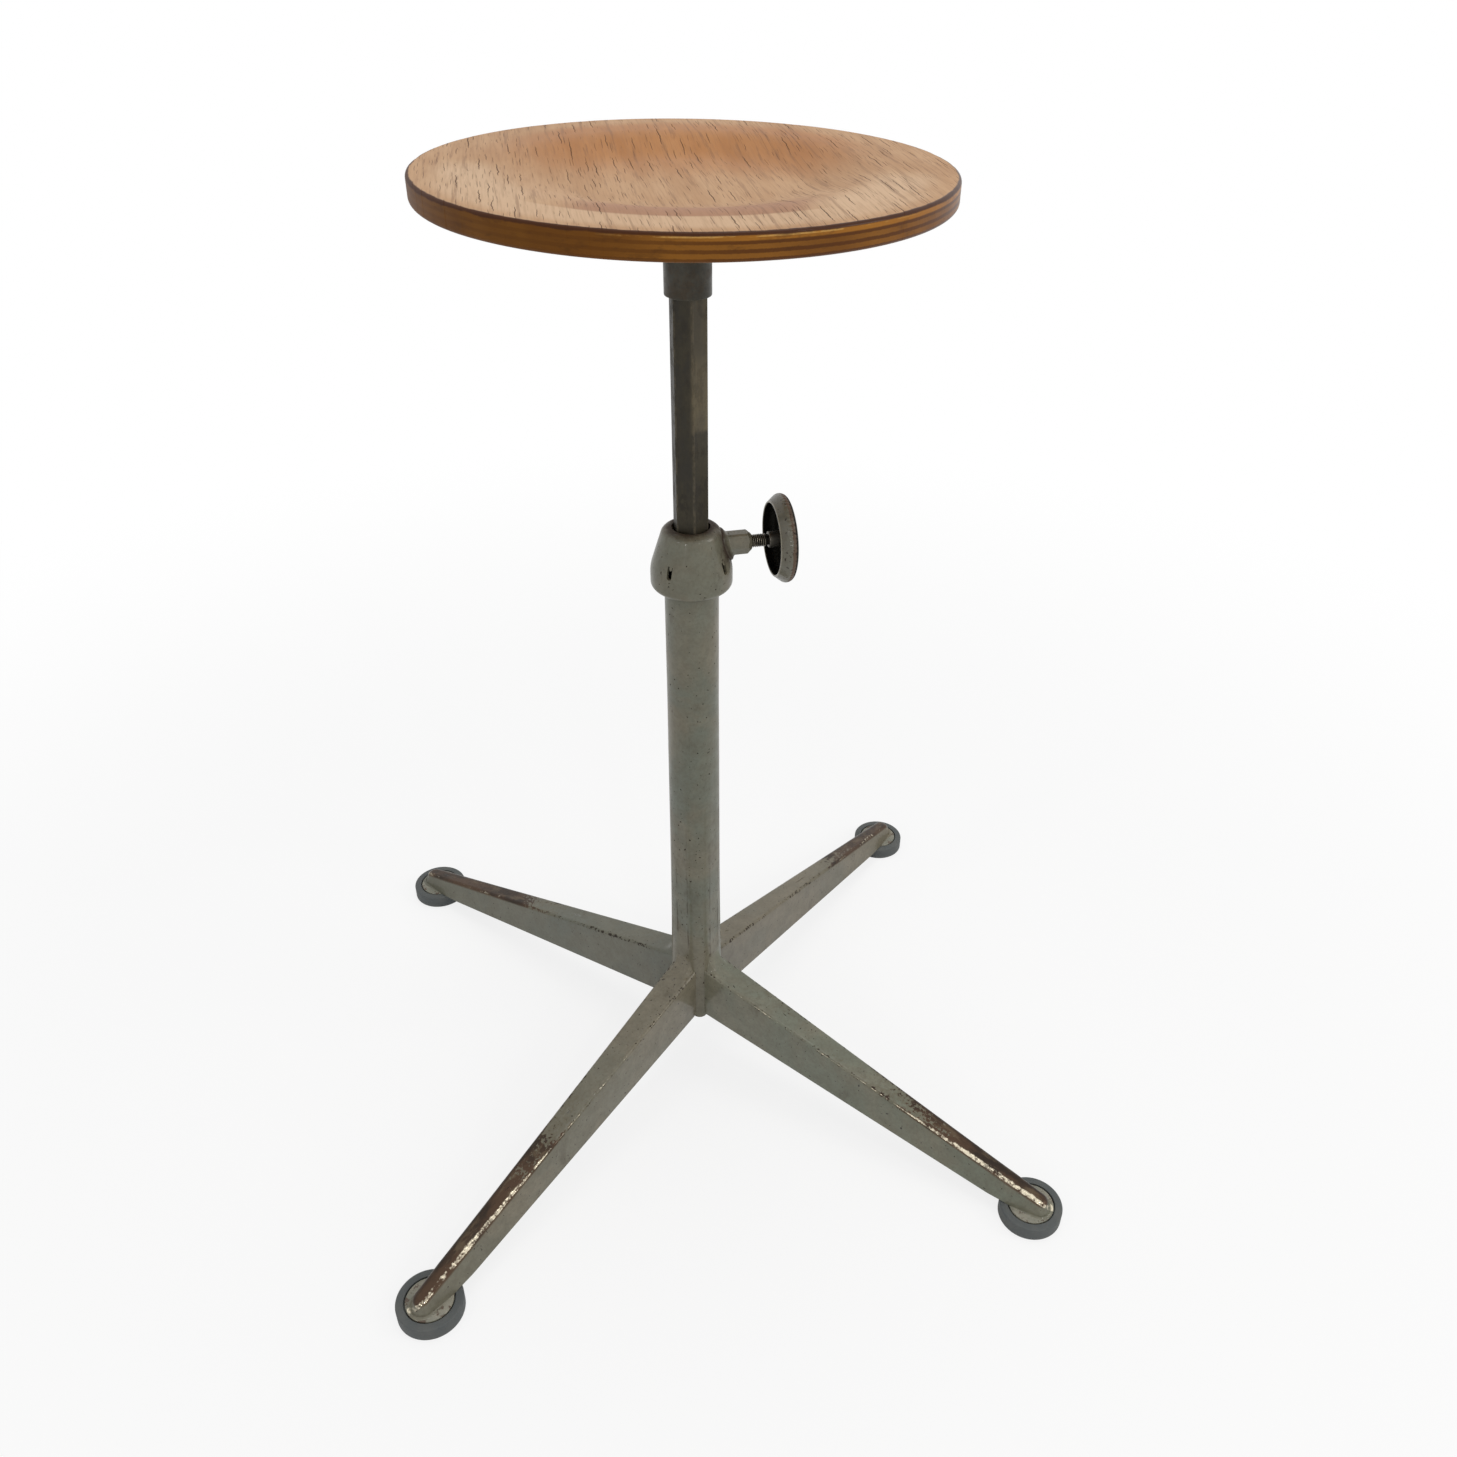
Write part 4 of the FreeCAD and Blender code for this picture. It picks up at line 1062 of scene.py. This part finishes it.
def checks(spot, wide, long, width, share, seed):
    """Dark checks along the grain: one lens-shaped crack in some of the cells of a staggered grid."""
    along, across = spot.split()[:2]
    wobble = spot.mapped((14, 3, 1), shift=(seed, 0, 0)).noise(6, 3, 0.6) - 0.5
    lane = (across + wobble * 0.55 * wide) / wide + seed
    row = lane.math("FLOOR", lane)
    shifted = along / long + row.joined(seed, 0.5).chance() * 5
    cell = shifted.math("FLOOR", shifted)
    luck = row.joined(cell, seed).chance()
    size = row.joined(cell, seed + 3).chance()
    spread = row.joined(cell, seed + 7).chance() * 0.6 - 0.3
    off = abs(lane - row - 0.5 - spread) * wide
    run = abs(shifted - cell - 0.5) / (0.08 + size * 0.38)
    lens = (1 - run * run).most(0.0) ** 0.5
    crack = (lens * width * (0.4 + size * 0.7) - off).rise(-0.1 * mm, 0.12 * mm)
    return crack * luck.rise(1 - share, 1 - share + 0.02) * run.rise(1.0, 0.9)


def seat_plies(x, depth, fibre, grime, broad):
    """Colour of the edge: golden and dark plies in turn by the depth below the rim, a painted golden
    highlight with painted glints near the top, painted shade to the left, under grime and a dark
    worn top line."""
    wavy = depth + (fibre - 0.5) * 0.7 * mm + (grime - 0.5) * mm
    ply = wavy / (2 * seat_thickness / ply_count) - 0.17
    dark_ply = abs(ply - ply.math("ROUND", ply)).rise(0.28, 0.16) * (0.3 + 0.7 * x.rise(-0.11, 0.01))
    # Painted highlight: a golden band below the top edge, where its rounding catches light, with painted
    # glints in it.
    gold_highlight = depth.rise(1.5 * mm, 2.3 * mm) * depth.rise(5.0 * mm, 4.0 * mm) * x.rise(-0.07, 0.03)
    glint = depth.rise(1.7 * mm, 2.1 * mm) * depth.rise(3.2 * mm, 2.4 * mm) * grime.rise(0.44, 0.60)
    line = (depth + (0.5 - grime) * 2.6 * mm).rise(2.4 * mm, 1.3 * mm)
    return broad.rise(0.36, 0.64).blend(tone(134, 86, 28), tone(114, 70, 20)).coats(
        (dark_ply * 0.85, 82, 44, 10),
        (gold_highlight * 0.6, 176, 116, 40),
        (glint * x.rise(-0.09, -0.04) * x.rise(0.13, 0.05) * 0.8, 226, 176, 98),
        (grime.rise(0.50, 0.70) * 0.45, 74, 44, 16),
        # Painted shade: the left of the edge is darker.
        (x.rise(-0.05, -0.16) * 0.5, 72, 42, 10),
        (line * 0.9, 64, 34, 18))


def seat_finish():
    """Worn beech veneer on top, warmer where it is still lacquered and on the far slope, where the
    warmth is partly painted shade, paler with painted sheen on the rim, painted highlights at the
    near brow and sides, and painted shade on the near slope; lacquered plies at the edge, and plain
    veneer underneath."""
    finish = Finish("seat_plywood", Coat_Roughness=0.14, Specular_IOR_Level=0.1)
    spot = finish.place.mapped(turn=-seat_grain)
    x, y, z = finish.place.split()
    radius = x.beside(y)
    away = (y * seat_back_y + x * seat_back_x) / seat_radius
    aside = (x * seat_back_y - y * seat_back_x) / seat_radius
    fibre = spot.mapped((0.05, 1, 0.3)).noise(620, 3, 0.6)
    streak = spot.mapped((0.045, 1, 0.3), shift=(0.2, 0, 0)).noise(260, 4, 0.65)
    figure = spot.mapped((0.18, 1, 0.4)).noise(42, 4, 0.6)
    patch = finish.place.noise(9, 3, 0.5)
    grime = finish.place.mapped((1, 1, 3)).noise(70, 4, 0.65)
    broad = finish.place.noise(13, 3, 0.6)
    # The pale tone is worn veneer that also stands for painted sheen; the warm tone is the lacquered
    # veneer.
    pale = figure.rise(0.35, 0.65).blend(tone(194, 155, 117), tone(181, 140, 101))
    warm = figure.rise(0.35, 0.65).blend(tone(180, 124, 72), tone(168, 112, 60))
    # Painted shade: the far slope is painted warmer, as it takes no sheen; the rest is warm where
    # lacquer is left at random.
    slope = away.rise(-0.25, 0.5) * radius.rise(0.170, 0.135)
    slope = slope * aside.rise(0.9, 0.4) * aside.rise(-0.95, -0.5)
    lacquer_and_shade = (slope * 1.2 + (patch - 0.5) * 0.6 + (figure - 0.5) * 0.4).rise(0.0, 1.3)
    # Painted shade: a darker crescent on the near slope of the dish.
    near_slope_shade = (away - aside * 0.25).rise(-0.38, -0.64) * radius.rise(0.1410, 0.1370)
    near_slope_shade = near_slope_shade * aside.rise(-0.42, -0.26) * aside.rise(0.52, 0.36)
    # Painted highlights: a pale ring at the brow on the near side, and pale patches on the near sides of
    # the dish.
    brow = radius.rise(0.1365, 0.1405) * radius.rise(0.172, 0.158) * away.rise(-0.2, -0.5)
    wing_highlights = abs(aside).rise(0.36, 0.58) * radius.rise(0.108, 0.132)
    wing_highlights = wing_highlights * radius.rise(0.168, 0.146) * away.rise(0.05, -0.2)
    long_checks = checks(spot, 6.4 * mm, 46 * mm, 0.36 * mm, 0.52, 2.0)
    short_checks = checks(spot, 2.9 * mm, 22 * mm, 0.2 * mm, 0.42, 5.0)
    hair_lines = checks(spot, 3.6 * mm, 76 * mm, 0.16 * mm, 0.75, 9.0) * x.rise(-0.04, 0.06)
    dark = long_checks.most(short_checks * 0.75).most(hair_lines * 0.5)
    top = lacquer_and_shade.blend(pale, warm).coats(
        (near_slope_shade * 0.95, 168, 124, 94),
        ((brow * 0.6).most(wing_highlights * 0.7), 214, 183, 150),
        (fibre.rise(0.42, 0.72) * 0.30, 146, 104, 70),
        (streak.rise(0.54, 0.66) * 0.42, 118, 80, 52),
        (dark * 0.85, 66, 42, 28))
    on_edge = (radius + (grime - 0.5) * 2.4 * mm).rise(0.1722, 0.1734)
    colour = on_edge.blend(top, seat_plies(x, seat_rim - z, fibre, grime, broad))
    normal = finish.place.node("ShaderNodeNewGeometry", {}, {}, "Normal")
    below = normal.split()[2].rise(-0.3, -0.5)
    plain = figure.rise(0.3, 0.7).blend(tone(168, 122, 76), tone(150, 106, 64))
    finish.feed("Base Color", (below * (1 - on_edge)).blend(colour, plain))
    finish.feed("Roughness", 0.50 - on_edge * 0.12 * x.rise(-0.1, 0.0) - lacquer_and_shade * 0.06 + dark * 0.2)
    finish.feed("Coat Weight", on_edge * x.rise(-0.08, 0.06) * 0.1)
    return finish.relief(fibre * 0.25 + figure * 0.15 - dark * 0.9 * (1 - on_edge), 0.35 * mm, 0.6)


place("seat_board", turned(seat_outline(), seat_columns, radius_law=seat_law), seat_finish(),
      "seat_group", "seat_plywood", "seat", closed=False, crease=40)

# Floor, lamps and camera. The floor and the background show white to the camera and to
# reflections, the floor keeps the stool's shadow, and far out it is plain white.
camera_place = (-0.1735, -0.8550, 0.9684)
camera_yaw = math.radians(15.10)
camera_pitch = math.radians(35.12)
camera_roll = math.radians(1.35)
camera_lens = 31.21
camera_sensor = 36
camera_shift = (-0.0211, 0.0096)
shown_white = 0.8
floor_size = 60.0
floor_white_from, floor_white_to = 0.5, 1.6
lamp_aim, shop_lamp_aim = 0.4, 0.54
shop_lamp_size, shop_lamp_power = 0.12, 2.2
shop_lamps = ((-1.74, -0.99, 1.51), (-1.10, -1.85, 1.09), (0.09, -1.90, 1.75), (0.70, -1.96, 1.33),
              (1.02, -1.09, 2.18))


def white_where_seen(tree, lit, share):
    """Mixes a lit shader with plain white light for camera, mirror and glass rays."""
    path = tree.nodes.new("ShaderNodeLightPath")
    seen = Wire(tree, path.outputs["Is Camera Ray"]) + Wire(tree, path.outputs["Is Glossy Ray"])
    seen = (seen + Wire(tree, path.outputs["Is Transmission Ray"])).least(1.0) * share
    white = seen.node("ShaderNodeEmission", {}, {"Color": (1, 1, 1, 1), "Strength": 1.0})
    return seen.node("ShaderNodeMixShader", {}, {0: seen, 1: lit, 2: white})


def bare_tree(owner, output):
    """A node tree emptied of all but its output. Gives the tree and the output's first socket."""
    owner.use_nodes = True
    owner.node_tree.nodes.clear()
    return owner.node_tree, owner.node_tree.nodes.new(output).inputs[0]


floor = added("floor", bpy.data.meshes.new("floor"))
corners = np.array([(-1, -1, 0), (1, -1, 0), (1, 1, 0), (-1, 1, 0)]) * floor_size / 2
floor.data.from_pydata(corners.tolist(), [], [(0, 1, 2, 3)])
ground = bpy.data.materials.new("pale_floor")
tree, out = bare_tree(ground, "ShaderNodeOutputMaterial")
spot = Wire(tree, tree.nodes.new("ShaderNodeTexCoord").outputs["Object"])
lit = spot.node("ShaderNodeBsdfDiffuse", {}, {"Color": (0.85, 0.85, 0.85, 1)})
far = spot.node("ShaderNodeVectorMath", {"operation": "LENGTH"}, {0: spot}, "Value")
far = far.rise(floor_white_from, floor_white_to)
tree.links.new(white_where_seen(tree, lit, shown_white + (1 - shown_white) * far).socket, out)
floor.data.materials.append(ground)

world = bpy.data.worlds.new("studio")
tree, out = bare_tree(world, "ShaderNodeOutputWorld")
lit = Wire(tree, None).node("ShaderNodeBackground", {}, {"Color": (0.97, 0.98, 1, 1), "Strength": 0.5})
tree.links.new(white_where_seen(tree, lit, 1.0).socket, out)
bpy.context.scene.world = world


def lamp(name, spot, height, size, power, colour):
    """Round soft lamp at a spot, turned to face the column's axis at a height."""
    light = bpy.data.lights.new(name, "AREA")
    light.size = size
    light.energy = power
    light.color = colour
    light.shape = "DISK"
    made = added(name, light)
    made.location = spot
    away = Vector(spot) - Vector((0, 0, height))
    made.rotation_euler = away.to_track_quat("Z", "Y").to_euler()


lamp("ceiling", (0.4, 0.9, 5.0), lamp_aim, 3.0, 62, (1, 0.99, 0.97))
lamp("window_right", (3.4, -1.5, 2.4), lamp_aim, 1.6, 30, (1, 0.97, 0.93))
for i in range(len(shop_lamps)):
    lamp("shop_lamp_%d" % i, shop_lamps[i], shop_lamp_aim, shop_lamp_size, shop_lamp_power,
         (1, 0.98, 0.95))

camera = added("camera", bpy.data.cameras.new("camera"))
camera.data.sensor_width = camera_sensor
camera.data.lens = camera_lens
camera.data.shift_x, camera.data.shift_y = camera_shift
ahead = Vector((math.sin(camera_yaw) * math.cos(camera_pitch),
                math.cos(camera_yaw) * math.cos(camera_pitch), -math.sin(camera_pitch)))
right = Vector((math.cos(camera_yaw), -math.sin(camera_yaw), 0))
above = right.cross(ahead)
rolled_right = right * math.cos(camera_roll) + above * math.sin(camera_roll)
rolled_above = above * math.cos(camera_roll) - right * math.sin(camera_roll)
turn = Matrix((rolled_right, rolled_above, -ahead)).transposed().to_4x4()
camera.matrix_world = Matrix.Translation(camera_place) @ turn
bpy.context.scene.camera = camera
bpy.context.scene.view_settings.view_transform = "Standard"
